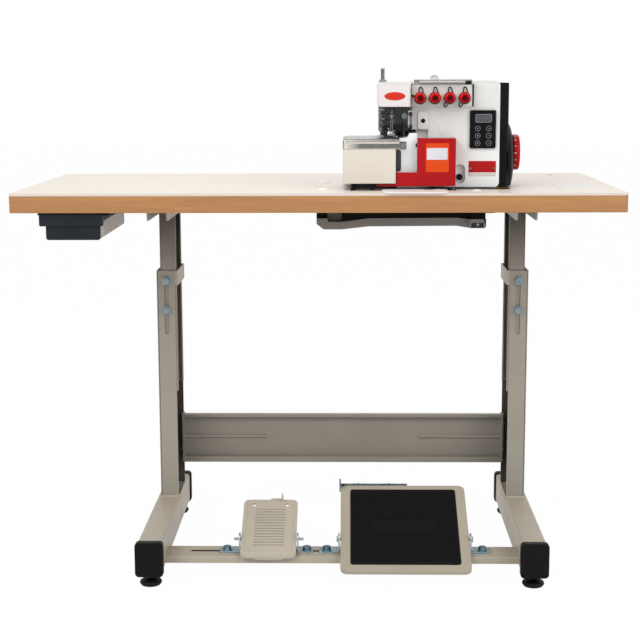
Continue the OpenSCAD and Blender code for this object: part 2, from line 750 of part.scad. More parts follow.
// Light casting under the needle plate, with the wall beside it and the rear beam
module bed_casting() {
    z0 = pan_z[1];
    color("#dfe2e2") in_head() difference() {
        union() {
            front_plate(wall_x, [z0, 98], [-25, -19], 2);
            front_plate([-6, wall_x[1]], [z0, 112], [-25, -19], 2);
            block([4, wall_x[1]], [-20, 94], [z0, 98]);
            block([wall_x[0], neck_x], [-20, 94], [z0, z0 + 7]);
            block([wall_x[1] - 1, neck_x - 0.01], [10, 60], [z0, neck_z - 0.01]);
            block([-138, 8], rear_y, [z0, bed_top - 3]);
            for (x = [-68, -24]) block([x, x + 4], [-18, 94], [bed_top - 15, bed_top - 3]);
            // deck behind and to the right of the needle plate
            block([-68, 8], [46.3, rear_y[1]], [bed_top - 6, bed_top]);
            block([-19.7, 8], [1, 47], [bed_top - 9, bed_top]);
            block([-24.9, wall_x[1]], [-25, -20.8], [97.9, ledge_z]);
            difference() {
                block([-6 - ledge_r, -5.9], [-25, -20.8], [ledge_z - 0.1, ledge_z + ledge_r]);
                cyl_y(-6 - ledge_r, [-26, -20], ledge_z + ledge_r, ledge_r);
            }
            // rail, lugs and pin of the front cover's hinge
            block([cover_lug_x[0], cover_lug_x[2] + cover_lug_w], [-26, -22], lug_z);
            for (x = cover_lug_x) {
                block([x, x + cover_lug_w], [cover_hinge[0], -22], lug_z);
                cyl_x([x, x + cover_lug_w], cover_hinge[0], cover_hinge[1], cover_lug_r);
            }
            cyl_x([cover_lug_x[0], cover_lug_x[2] + cover_lug_w], cover_hinge[0], cover_hinge[1], cover_pin_r);
            // hinge lugs and pin of the bed cover
            for (z = [[z0, 19.5], [70.5, 78]]) {
                block([bed_hinge[0] - 5, bed_hinge[0] + 5], [bed_hinge[1], rear_y[0] + 1], z);
                cyl_z(bed_hinge[0], bed_hinge[1], z, 5);
            }
            cyl_z(bed_hinge[0], bed_hinge[1], [z0, 78], 2);
        }
        block([-25, -11], [-26, -21], [79, 95]);
        block([wall_x[0] - 1, -24.9], [-26, -18], [79, 99]);
        for (p = looper_shaft) cyl_y(p[0], [rear_y[0] - 1, rear_y[1] + 1], p[1], looper_r + fit_gap);
    }
}

feed_x = [-50, -30];
feed_y = [23, 39];

module needle_plate() {
    color(steel) in_head() difference() {
        flat_plate([-68.5, -20], [-20.5, 46], [bed_top - 3, bed_top], 2);
        flat_plate([needle_x - 4.5, needle_x + 4.5], [needle_y - 2.5, needle_y + 2.5], [bed_top - 4, bed_top + 1], 2.4);
        block([feed_x[0] - 1, feed_x[1] + 1], [feed_y[0] - 3, feed_y[1] + 3], [bed_top - 4, bed_top + 1]);
    }
}

module lower_knife() {
    color(steel) in_head() difference() {
        block([-19.7, -17.7], [-19, 0], [66, bed_top]);
        cyl_x([-21, -17], -10, 76, 2.5);
    }
}

// ---------- machine head: fixed fittings ----------

module tension_plate() {
    color(cream) in_head() {
        front_plate([-1, 118.5], [164, 206.5], [-12, 0], 3);
        for (x = knob_x) {
            cyl_y(x, [-43, -12], knob_z, 3);
            cyl_y(x, [-15, -13], knob_z, 9);
            cyl_y(x, [-18, -16], knob_z, 9);
        }
    }
}

module thread_guide() {
    color(steel) in_head() {
        block([3, 118], [-26, 0], [214, 216.5]);
        for (x = [[4, 15], [106, 118]]) block(x, [-12, 0], [206.5, 214]);
        // upright guide bar beside the tension plate
        cyl_z(121.5, -6, [163, 208], 1.6);
        for (z = [166, 202]) block([120.5, 122.5], [-6, 0], [z, z + 3]);
    }
}

module oil_sight() {
    color([0.8, 0.82, 0.8, 0.5]) in_head() translate([46, 24, head_h]) {
        cylinder(h = 3, r = 10);
        intersection() {
            translate([0, 0, 3]) sphere(r = 9);
            cylinder(h = 20, r = 9);
        }
    }
}

module control_panel() {
    color(black) in_head() difference() {
        front_plate([116, 168], [80.6, 156], [-5, 0], 3);
        front_plate([126, 158], [132, 149], [-6, -4.2], 2);
    }
}

// Black cover on the motor end: a flat box with a domed boss around the shaft
cover_x = body_x[1] + 18.5;
boss_t = 15.5;
boss_z = shaft_z - 11.5;

module motor_cover() {
    x0 = body_x[1];
    wall = 3.5;
    y = [2, 168];
    z = [3, 210];
    color(black) in_head() difference() {
        union() {
            intersection() {
                block([x0, cover_x], y, z);
                front_plate([x0 - 40, cover_x], z, y, 3);
                flat_plate([x0 - 40, cover_x], y, z, 8);
            }
            intersection() {
                translate([cover_x - 1, shaft_y, boss_z]) rotate([0, 90, 0]) rotate_extrude()
                    polygon([[0, 0], [77, 0], [77, 1], [74, 5], [70, 8.5], [63, 11.5], [56, 13.4], [48, 14.9],
                             [41, boss_t + 0.4], [36, boss_t + 1], [0, boss_t + 1]]);
                block([x0, cover_x + boss_t + 1], y, z);
            }
        }
        block([x0 - 1, cover_x - wall], [y[0] + 6, y[1] - 6], [z[0] + 5, z[1] - 6]);
        cyl_x([x0, cover_x + boss_t + 1], shaft_y, shaft_z, shaft_r + 3);
    }
}

module motor_stator() {
    color("#6d6f72") in_head() difference() {
        union() {
            side_plate([126, 164], [34, 126], [22.5, 114.5], 12);
            block([128, 162], [50, 110], [body_z[0] + body_t, 26]);
        }
        cyl_x([125, 165], shaft_y, shaft_z, 30.6);
    }
}

module shaft_bearings() {
    color(steel) in_head() for (b = bearing_x) difference() {
        cyl_x(b, shaft_y, shaft_z, bearing_r);
        cyl_x([b[0] - 1, b[1] + 1], shaft_y, shaft_z, shaft_r + fit_gap);
    }
}

module face_cover() {
    color(cream) in_head() intersection() {
        front_plate([arm_x[0], -5], [163.5, 205], [-35, arm_y[0]], 5);
        side_plate([arm_x[0] - 1, 0], [-35, 20], [140, 205], 7);
    }
}

// ---------- machine head: covers that open ----------

// Cream box at the left of the bed; it swings out to the left about its rear corner
module bed_cover() {
    x = [-137.5, -32.5];
    z = [13.5, 81];
    t = 3;
    h = bed_hinge;
    color(cream) in_head() difference() {
        union() {
            difference() {
                flat_plate(x, [-48, 80], z, 4);
                block([x[0] + t, x[1] - t], [-48 + t, 81], [z[0] - 1, z[1] + 1]);
                block([x[1] - t - 1, x[1] + 1], [-28, 81], [z[0] - 1, z[1] + 1]);
            }
            block([x[0], h[0]], [78, h[1]], [22, 68]);
            cyl_z(h[0], h[1], [20, 70], 5);
        }
        cyl_z(h[0], h[1], [19, 71], 2 + fit_gap);
    }
}

// Steel cloth plate on the bed cover, with a folded front edge
module cloth_plate() {
    z = [81, bed_top];
    color(steel) in_head() difference() {
        intersection() {
            union() {
                block([-138, -25.5], [-48, -21], z);
                block([-138, -69], [-22, 85], z);
            }
            side_plate([-139, -25], [-48, 200], [-40, bed_top], 8);
            flat_plate([-138, 60], [-48, 200], z, 6);
            front_plate([-138, 60], [0, bed_top], [-48, 200], 9);
        }
        block([-135, -28.5], [-45, -24], [z[0] - 1, z[1] - 3]);
        block([-135, -72], [-45, 88], [z[0] - 1, z[1] - 3]);
    }
}

// Red cover in front of the loopers; it tips forward about its lower edge
module front_cover() {
    z0 = 7.8;
    color(red) in_head() difference() {
        union() {
            translate([0, -38, 0]) rotate([90, 0, 0]) linear_extrude(4)
                polygon([[-70, z0], [86, z0], [86, 102], [10.3, 102], [10.3, 35], [-31, 35], [-31, 12.5], [-70, 12.5]]);
            block([83, 86], [-39, -1], [z0 + 6, 102]);
            block([10.3, 86], [-39, -12], [99, 102]);
            for (x = [[-4.7, 39.7], [45.3, 75.7]]) {
                cyl_x(x, cover_hinge[0], cover_hinge[1], 2.5);
                block(x, [-39, cover_hinge[0]], [z0, cover_hinge[1] + 2.5]);
            }
        }
        cyl_x([-20, 81.5], cover_hinge[0], cover_hinge[1], cover_pin_r + fit_gap);
    }
}

// Clear guard in front of the needle; it swings out about an upright pin at its right
module eye_guard() {
    color([0.75, 0.78, 0.78, 0.4]) in_head() difference() {
        union() {
            intersection() {
                front_plate([-64, -7], guard_z, [-32, -30], 6);
                cyl_y(guard_curve[0], [-33, -29], guard_curve[1], guard_curve[2]);
            }
            block([-9, guard_hinge[0]], [-32, guard_hinge[1] - 2], [128, 146]);
            cyl_z(guard_hinge[0], guard_hinge[1], [128, 146], 3);
        }
        cyl_z(guard_hinge[0], guard_hinge[1], [127, 147], 1.5 + fit_gap);
    }
}

// ---------- machine head: sewing mechanism ----------

module presser_foot() {
    p = presser_at;
    color(steel) in_head() difference() {
        union() {
            flat_plate([-54.5, -27], [-19, 40], [bed_top + 0.5, bed_top + 3], 3);
            block([-54.5, -48], [-2, 20], [bed_top + 2, bed_top + 10]);
            flat_plate([p[0] - 5, -48], [p[1] - 6, p[1] + 6], [bed_top + 3, bed_top + 18], 3);
            cyl_z(p[0], p[1], [bed_top + 12, 190], presser_bar_r);
        }
        flat_plate([needle_x - 4.5, needle_x + 4.5], [needle_y - 4, needle_y + 4], [bed_top, bed_top + 4], 2);
    }
}

module needle_bar() {
    color(steel) in_head() {
        cyl_z(needle_x, needle_y, [138, 198], needle_bar_r);
        block([needle_x - 6, needle_x + 6], [needle_y - 4.5, needle_y + 4.5], [134, 146]);
        cyl_y(needle_x, [needle_y - 8, needle_y - 4], 140, 2);
        for (dx = [-1.8, 1.8]) {
            cyl_z(needle_x + dx, needle_y, [114, 135], 0.9);
            cyl_z(needle_x + dx, needle_y, [106, 114.5], 0.6);
        }
    }
}

module main_shaft() {
    color(steel) in_head() {
        cyl_x([22, wheel_x[1] - 3], shaft_y, shaft_z, shaft_r);
        cyl_x([22, 30], shaft_y, shaft_z, 14);
        cyl_x([128, 162], shaft_y, shaft_z, 30);
    }
}

wheel_x = [cover_x + boss_t + 0.5, 223.4];

module handwheel() {
    r = wheel_d / 2;
    w = wheel_x[1] - wheel_x[0];
    rim = 7;
    hub = 12;
    color(red) in_head() difference() {
        translate([wheel_x[0], shaft_y, shaft_z]) rotate([0, 90, 0]) rotate_extrude($fn = 64)
            polygon([[0, 0], [r - 1, 0], [r, 1], [r, w - 3], [r - 1, w - 1], [r - 3, w], [r - rim, w],
                     [r - rim - 2, w - 6], [hub + 1, w - 6], [hub, w], [0, w]]);
        cyl_x([wheel_x[0] - 1, wheel_x[1] - 3], shaft_y, shaft_z, shaft_r);
    }
}

// Rocking lower looper in front of the needle, and upper looper behind it
module lower_looper() {
    p = looper_shaft[0];
    color(steel) in_head() {
        cyl_y(p[0], [-14, 118], p[1], looper_r);
        cyl_y(p[0], [-14, -6], p[1], 8);
        block([p[0] - 3, p[0] + 3], [-13, -8], [p[1], 88]);
        translate([0, -8, 0]) rotate([90, 0, 0]) linear_extrude(2.5)
            polygon([[p[0] - 3, 84], [p[0] + 16, 93], [p[0] + 16, 94.5], [p[0] - 3, 91]]);
    }
}

module upper_looper() {
    p = looper_shaft[1];
    color(steel) in_head() {
        cyl_y(p[0], [13, 118], p[1], looper_r);
        cyl_y(p[0], [13, 20], p[1], 8);
        block([p[0] - 3, p[0] + 3], [14, 19], [p[1], 80]);
        translate([0, 17, 0]) rotate([90, 0, 0]) linear_extrude(2.5)
            polygon([[p[0] + 3, 76], [p[0] - 20, 94], [p[0] - 20, 95.5], [p[0] + 3, 82]]);
    }
}

module upper_knife() {
    color(steel) in_head() difference() {
        block([-17.4, -14.3], [-17, -2], [104.5, 150]);
        cyl_x([-18, -14], -9.5, 140, 2.5);
    }
}

module feed_dog() {
    teeth = 6;
    color(steel) in_head() {
        block(feed_x, feed_y, [94, bed_top - 1.1]);
        block([feed_x[0] + 6, feed_x[1] - 6], [feed_y[0] + 2, feed_y[1] - 2], [56, 95]);
        for (i = [0 : teeth - 1]) translate([feed_x[0], feed_y[0] + 1 + i * 2.5, bed_top - 1.11])
            rotate([90, 0, 90]) linear_extrude(feed_x[1] - feed_x[0]) polygon([[0, 0], [2, 0], [2, 1.3]]);
    }
}

// ---------- machine head: knobs, screw and button ----------

module tension_knob(i) {
    r = knob_d / 2;
    color(red) in_head() translate([knob_x[i], -19, knob_z]) rotate([90, 0, 0]) rotate_extrude() {
        b = 3 + fit_gap;
        polygon([[b, 0], [r - 1.5, 0], [r, 2], [r, 13], [r - 1.5, 18], [r - 4, 20], [7, 20], [6, 17], [b, 17]]);
    }
}
module tension_knob_1() { tension_knob(0); }
module tension_knob_2() { tension_knob(1); }
module tension_knob_3() { tension_knob(2); }
module tension_knob_4() { tension_knob(3); }

module pressure_screw() {
    p = presser_at;
    color(steel) in_head() {
        cyl_z(p[0], p[1], [199, 240], screw_r);
        cyl_z(p[0], p[1], [arm_z[1] + 0.3, arm_z[1] + 5], 8.5);
    }
}

module stitch_button() {
    color(black) in_head() {
        cyl_y(button_at[0], [4, 20], button_at[1], button_r);
        cyl_y(button_at[0], [17.3, 20], button_at[1], 8);
    }
}

base_tubes();
tube_end_caps();
outer_columns();
column_straps();
cross_beam();
treadle_bar();
pedal_brackets();
stand_bolts();
foot_front_left();
foot_front_right();
foot_rear_left();
foot_rear_right();
treadle_frame();
treadle_mat();
treadle_rod_plate();
lift_pedal();
table_board();
edge_band();
table_insert();
inner_columns();
column_bolts();
table_brackets();
support_frame();
frame_bolts();
drawer_rails();
drawer_tray();
drawer_front();
rubber_mounts();
base_pan();
head_casting();
arm_frame();
bed_casting();
needle_plate();
lower_knife();
tension_plate();
thread_guide();
oil_sight();
control_panel();
motor_cover();
motor_stator();
shaft_bearings();
face_cover();
bed_cover();
cloth_plate();
front_cover();
eye_guard();
presser_foot();
needle_bar();
handwheel();
main_shaft();
lower_looper();
upper_looper();
feed_dog();
upper_knife();
tension_knob_1();
tension_knob_2();
tension_knob_3();
tension_knob_4();
pressure_screw();
stitch_button();
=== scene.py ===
import json
import math

import bmesh
import bpy
from mathutils import Matrix, Vector


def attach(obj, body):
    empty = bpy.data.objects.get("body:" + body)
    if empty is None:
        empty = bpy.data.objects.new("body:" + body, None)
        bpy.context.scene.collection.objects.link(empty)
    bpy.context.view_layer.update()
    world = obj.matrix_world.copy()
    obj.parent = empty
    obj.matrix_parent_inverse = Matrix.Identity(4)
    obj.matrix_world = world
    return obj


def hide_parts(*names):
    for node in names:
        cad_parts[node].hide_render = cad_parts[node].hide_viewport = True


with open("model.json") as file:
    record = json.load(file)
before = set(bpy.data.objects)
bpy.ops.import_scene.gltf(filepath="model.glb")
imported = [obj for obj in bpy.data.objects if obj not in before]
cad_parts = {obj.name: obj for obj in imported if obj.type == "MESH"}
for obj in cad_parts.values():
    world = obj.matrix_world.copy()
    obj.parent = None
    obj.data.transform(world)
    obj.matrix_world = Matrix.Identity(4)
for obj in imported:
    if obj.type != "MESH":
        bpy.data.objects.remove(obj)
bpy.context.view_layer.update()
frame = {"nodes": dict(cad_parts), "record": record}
record = frame["record"]
bodyOf = {node: body for body, nodes in record["behaviour"]["bodies"].items() for node in nodes}
slotOf = {part["node"]: part["material_slot"] for part in record["subparts"]}
mm = 0.001
headOrigin = Vector((187, -164, 790))  # millimetres, front left of the machine head on the table top
print("frame loaded:", len(bodyOf), "nodes")

# camera, a long lens standing in front of the table a little above its top
cameraSetup = {
    "place": (0.0607, -3.0794, 1.0085),
    "pitchDown": 9.485,
    "turnLeft": 1.149,
    "roll": -0.19,
    "lens": 81.16,
    "farthest": 60,
}


def addCamera(setup):
    pitch = math.radians(setup["pitchDown"])
    turn = math.radians(setup["turnLeft"])
    roll = math.radians(setup["roll"])
    ahead = Vector((-math.sin(turn) * math.cos(pitch), math.cos(turn) * math.cos(pitch), -math.sin(pitch)))
    right = Vector((math.cos(turn), math.sin(turn), 0))
    up = right.cross(ahead)
    rolledRight = right * math.cos(roll) + up * math.sin(roll)
    rolledUp = up * math.cos(roll) - right * math.sin(roll)
    view = Matrix((rolledRight, rolledUp, -ahead)).transposed().to_4x4()
    data = bpy.data.cameras.new("camera")
    data.lens = setup["lens"]
    data.clip_end = setup["farthest"]
    camera = bpy.data.objects.new("camera", data)
    camera.matrix_world = Matrix.Translation(setup["place"]) @ view
    bpy.context.collection.objects.link(camera)
    bpy.context.scene.camera = camera


addCamera(cameraSetup)
print("camera placed")

# node helpers; a noise is given as its scale, detail, roughness and distortion
mixSockets = {"first": 6, "second": 7, "result": 2}  # the colour sockets of a Mix node


def linear(hexColour):
    channels = [int(hexColour[i : i + 2], 16) / 255 for i in (1, 3, 5)]
    return tuple(c / 12.92 if c <= 0.04045 else ((c + 0.055) / 1.055) ** 2.4 for c in channels) + (1,)


def addNode(tree, kind, **values):
    node = tree.nodes.new(kind)
    for name, value in values.items():
        setattr(node, name, value)
    return node


def setInputs(node, values):
    for name, value in values.items():
        node.inputs[name].default_value = value


def startMaterial(name):
    material = bpy.data.materials.new(name)
    material.use_nodes = True
    return material, material.node_tree, material.node_tree.nodes["Principled BSDF"]


def objectCoordinates(tree, stretch=(1, 1, 1)):
    source = addNode(tree, "ShaderNodeTexCoord")
    mapping = addNode(tree, "ShaderNodeMapping")
    mapping.inputs["Scale"].default_value = stretch
    tree.links.new(source.outputs["Object"], mapping.inputs["Vector"])
    return mapping.outputs["Vector"]


def noise(tree, vector, scale, detail=3, roughness=0.5, distortion=0):
    node = addNode(tree, "ShaderNodeTexNoise")
    tree.links.new(vector, node.inputs["Vector"])
    setInputs(node, {"Scale": scale, "Detail": detail, "Roughness": roughness, "Distortion": distortion})
    return node.outputs["Fac"]


def spread(tree, factor, low, high, fromLow=0.3, fromHigh=0.7):
    node = addNode(tree, "ShaderNodeMapRange")
    tree.links.new(factor, node.inputs["Value"])
    setInputs(node, {"From Min": fromLow, "From Max": fromHigh, "To Min": low, "To Max": high})
    return node.outputs["Result"]


def blendColours(tree, factor, first, second):
    node = addNode(tree, "ShaderNodeMix", data_type="RGBA")
    tree.links.new(factor, node.inputs["Factor"])
    for socket, colour in (("first", first), ("second", second)):
        goal = node.inputs[mixSockets[socket]]
        if isinstance(colour, tuple):
            goal.default_value = colour
        else:
            tree.links.new(colour, goal)
    return node.outputs[mixSockets["result"]]


def clouded(tree, vector, grain, colour, shade, span=(0.3, 0.7)):
    share = spread(tree, noise(tree, vector, *grain), 0, 1, *span)
    return blendColours(tree, share, linear(colour), linear(shade))


def tinted(tree, base, share, colour):
    return blendColours(tree, share, base, linear(colour))


def worn(tree, factor, roughness, look):
    return spread(tree, factor, roughness - look["wearBelow"], roughness + look["wearAbove"])


def along(tree, vector, axis):
    split = addNode(tree, "ShaderNodeSeparateXYZ")
    tree.links.new(vector, split.inputs["Vector"])
    return split.outputs[axis]


def facing(tree, axis):
    return along(tree, addNode(tree, "ShaderNodeNewGeometry").outputs["Normal"], axis)


def dress(tree, shader, base, roughness, bumps, values):
    tree.links.new(base, shader.inputs["Base Color"])
    tree.links.new(roughness, shader.inputs["Roughness"])
    normal = None
    for height, strength, distance in bumps:
        node = addNode(tree, "ShaderNodeBump")
        setInputs(node, {"Strength": strength, "Distance": distance})
        tree.links.new(height, node.inputs["Height"])
        if normal:
            tree.links.new(normal, node.inputs["Normal"])
        normal = node.outputs["Normal"]
    tree.links.new(normal, shader.inputs["Normal"])
    setInputs(shader, values)


# painted metal: clouded colour with specks of dust, uneven gloss and orange peel; the optional top colour on
# upward faces is painted shade
paintLook = {
    "cloud": (7, 4),
    "topSpan": (0.5, 0.95),
    "specks": (420, 2),
    "speckSpan": (0.66, 0.74),
    "speckColour": "#6f675c",
    "wear": (26, 5, 0.6),
    "wearBelow": 0.06,
    "wearAbove": 0.08,
    "peelDetail": 2,
    "peelStrength": 0.35,
    "coatRoughness": 0.12,
}


def paint(name, colour, shade, roughness, peelSize, peelDepth, coat=0.0, dust=0.12, specular=0.25, lower=None,
          top=None):
    look = paintLook
    material, tree, shader = startMaterial(name)
    place = objectCoordinates(tree)
    base = clouded(tree, place, look["cloud"], colour, shade)
    # towards the bottom the colour turns to the lower one; on the inner columns that is where the painted
    # shadow of the table ends
    if lower:
        lowerColour, fullBelow, noneAbove = lower
        share = spread(tree, along(tree, place, "Z"), 1, 0, fullBelow, noneAbove)
        base = tinted(tree, base, share, lowerColour)
    # upward faces blend to the darker top colour: painted shade
    if top:
        base = tinted(tree, base, spread(tree, facing(tree, "Z"), 0, 1, *look["topSpan"]), top)
    specks = spread(tree, noise(tree, place, *look["specks"]), 0, dust, *look["speckSpan"])
    base = tinted(tree, base, specks, look["speckColour"])
    wear = worn(tree, noise(tree, place, *look["wear"]), roughness, look)
    peel = (noise(tree, place, peelSize, look["peelDetail"]), look["peelStrength"], peelDepth)
    dress(tree, shader, base, wear, [peel], {
        "Specular IOR Level": specular, "Coat Weight": coat, "Coat Roughness": look["coatRoughness"]})
    return material


# moulded plastic, printed labels and rubber; the optional darker colour on downward faces is painted shade
plasticLook = {
    "cloud": (16, 3),
    "shadeBelowSpan": (-0.85, 0.25),
    "wear": (60, 4),
    "wearBelow": 0.05,
    "wearAbove": 0.07,
    "grainDetail": 2,
    "grainStrength": 0.4,
}


def plastic(name, colour, shade, roughness, grainSize, grainDepth, specular, shadeBelow=None):
    look = plasticLook
    material, tree, shader = startMaterial(name)
    place = objectCoordinates(tree)
    base = clouded(tree, place, look["cloud"], colour, shade)
    # downward faces blend to the darker colour: painted shade
    if shadeBelow:
        base = tinted(tree, base, spread(tree, facing(tree, "Z"), 1, 0, *look["shadeBelowSpan"]), shadeBelow)
    wear = worn(tree, noise(tree, place, *look["wear"]), roughness, look)
    grain = (noise(tree, place, grainSize, look["grainDetail"]), look["grainStrength"], grainDepth)
    dress(tree, shader, base, wear, [grain], {"Specular IOR Level": specular})
    return material


# brushed steel, its lines running along x unless the stretch says otherwise
brushedLook = {
    "lines": (9, 4, 0.65),
    "stains": (45, 4),
    "wearBelow": 0.08,
    "wearAbove": 0.12,
    "bump": (0.25, 0.00004),
}


def brushedSteel(name, colour, shade, roughness, stretch=(20, 260, 260), leftEnd=None):
    look = brushedLook
    material, tree, shader = startMaterial(name)
    place = objectCoordinates(tree)
    lines = noise(tree, objectCoordinates(tree, stretch), *look["lines"])
    base = clouded(tree, place, look["stains"], colour, shade)
    if leftEnd:
        endColour, fullBefore, noneAfter = leftEnd
        share = spread(tree, along(tree, place, "X"), 1, 0, fullBefore, noneAfter)
        base = tinted(tree, base, share, endColour)
    wear = worn(tree, lines, roughness, look)
    dress(tree, shader, base, wear, [(lines, *look["bump"])], {"Metallic": 1})
    return material


# dark steel of the sewing parts, its patches of dark and bright colour painted reflection
oiledLook = {
    "reflectionPatches": (130, 3, 0.6, 0.4),
    "reflectionColours": ("#242425", "#a3a19d"),
    "reflectionSpan": (0.48, 0.66),
    "wear": (260, 3),
    "wearSpan": (0.12, 0.36),
    "pits": (800, 3),
    "bump": (0.2, 0.00005),
}


def oiledSteel(name, look):
    material, tree, shader = startMaterial(name)
    place = objectCoordinates(tree)
    # patches of dark and bright colour: painted reflection
    base = clouded(tree, place, look["reflectionPatches"], *look["reflectionColours"], look["reflectionSpan"])
    wear = spread(tree, noise(tree, place, *look["wear"]), *look["wearSpan"])
    dress(tree, shader, base, wear, [(noise(tree, place, *look["pits"]), *look["bump"])], {"Metallic": 1})
    return material


# bluish zinc plating with a straw tint in places
zincLook = {
    "sheen": (70, 3),
    "straw": (33, 2),
    "strawColour": "#98937d",
    "strawShare": 0.4,
    "strawSpan": (0.5, 0.7),
    "wear": (150, 4),
    "wearSpan": (0.2, 0.4),
    "pits": (900, 2),
    "bump": (0.3, 0.00005),
}


def zincPlate(name, dark, light):
    look = zincLook
    material, tree, shader = startMaterial(name)
    place = objectCoordinates(tree)
    straw = spread(tree, noise(tree, place, *look["straw"]), 0, look["strawShare"], *look["strawSpan"])
    base = tinted(tree, clouded(tree, place, look["sheen"], dark, light), straw, look["strawColour"])
    wear = spread(tree, noise(tree, place, *look["wear"]), *look["wearSpan"])
    dress(tree, shader, base, wear, [(noise(tree, place, *look["pits"]), *look["bump"])], {"Metallic": 1})
    return material


# beech edge: rings, streaks and pores along the board, darker at its left end and lower down
beechLook = {
    "ringStretch": (1.5, 1.5, 26),
    "rings": (2.6, 4, 0.55, 0.7),
    "ringColours": ("#b07c49", "#9a683a"),
    "ringSpan": (0.35, 0.65),
    "ends": (("X", "#9c6a36", 0.6, -0.6, -0.2), ("Z", "#966637", 0.5, 0.755, 0.782)),
    "streakStretch": (7, 7, 420),
    "streaks": (3, 4, 0.6),
    "streakColour": "#bb8b5c",
    "streakShare": 0.5,
    "poreStretch": (60, 60, 900),
    "pores": (4, 2),
    "poreColour": "#8a5a33",
    "poreShare": 0.4,
    "poreSpan": (0.6, 0.75),
    "wearSpan": (0.36, 0.5),
    "poreBump": (0.3, 0.0001),
    "streakBump": (0.15, 0.0002),
}


def beechEdge(name, look):
    material, tree, shader = startMaterial(name)
    streaks = noise(tree, objectCoordinates(tree, look["streakStretch"]), *look["streaks"])
    pores = noise(tree, objectCoordinates(tree, look["poreStretch"]), *look["pores"])
    base = clouded(tree, objectCoordinates(tree, look["ringStretch"]), look["rings"], *look["ringColours"],
                   look["ringSpan"])
    for axis, colour, share, fullBefore, noneAfter in look["ends"]:
        part = spread(tree, along(tree, objectCoordinates(tree), axis), share, 0, fullBefore, noneAfter)
        base = tinted(tree, base, part, colour)
    base = tinted(tree, base, spread(tree, streaks, 0, look["streakShare"]), look["streakColour"])
    pored = spread(tree, pores, 0, look["poreShare"], *look["poreSpan"])
    base = tinted(tree, base, pored, look["poreColour"])
    wear = spread(tree, streaks, *look["wearSpan"])
    dress(tree, shader, base, wear, [(pores, *look["poreBump"]), (streaks, *look["streakBump"])], {})
    return material


# laminate on the table's top, and raw chipboard wherever the board is cut below it
laminateLook = {
    "cloud": (3, 3),
    "topColours": ("#e3dbcf", "#dfd6c9"),
    "edgeColour": "#d3c8be",
    "topSpan": (0.3, 0.8),
    "chips": (160, 3, 0.7),
    "chipColours": ("#a9733f", "#c79a62"),
    "chipSpan": (0.4, 0.6),
    "skin": (0.7848, 0.7852),
    "upwards": (0.2, 0.5),
    "wear": (40, 3),
    "wearSpan": (0.34, 0.46),
    "grain": (700, 3),
    "bump": (0.25, 0.0001),
}


def tableLaminate(name, look):
    material, tree, shader = startMaterial(name)
    place = objectCoordinates(tree)
    top = clouded(tree, place, look["cloud"], *look["topColours"])
    raw = clouded(tree, place, look["chips"], *look["chipColours"], look["chipSpan"])
    covered = addNode(tree, "ShaderNodeMath", operation="MAXIMUM")
    tree.links.new(spread(tree, facing(tree, "Z"), 0, 1, *look["upwards"]), covered.inputs[0])
    tree.links.new(spread(tree, along(tree, place, "Z"), 0, 1, *look["skin"]), covered.inputs[1])
    upwards = spread(tree, facing(tree, "Z"), 0, 1, *look["topSpan"])
    sheet = blendColours(tree, upwards, linear(look["edgeColour"]), top)
    base = blendColours(tree, covered.outputs[0], raw, sheet)
    wear = spread(tree, noise(tree, place, *look["wear"]), *look["wearSpan"])
    dress(tree, shader, base, wear, [(noise(tree, place, *look["grain"]), *look["bump"])], {})
    return material


# clear plastic with faint scuffs
clearLook = {
    "cloud": (20, 3),
    "shade": "#e6eae8",
    "scuffs": (120, 5, 0.6),
    "wearAbove": 0.1,
    "bump": (0.08, 0.0001),
    "bend": 1.3,
}


def clearPlastic(name, colour, roughness):
    look = clearLook
    material, tree, shader = startMaterial(name)
    place = objectCoordinates(tree)
    scuffs = noise(tree, place, *look["scuffs"])
    base = clouded(tree, place, look["cloud"], colour, look["shade"])
    wear = spread(tree, scuffs, roughness, roughness + look["wearAbove"])
    dress(tree, shader, base, wear, [(scuffs, *look["bump"])], {
        "Transmission Weight": 1, "IOR": look["bend"]})
    return material



def khaki(name, colour, shade, roughness=0.42, specular=0.25, lower=None):
    return paint(name + "_powder", colour, shade, roughness, 1300, 0.00014, 0, 0.05, specular, lower)


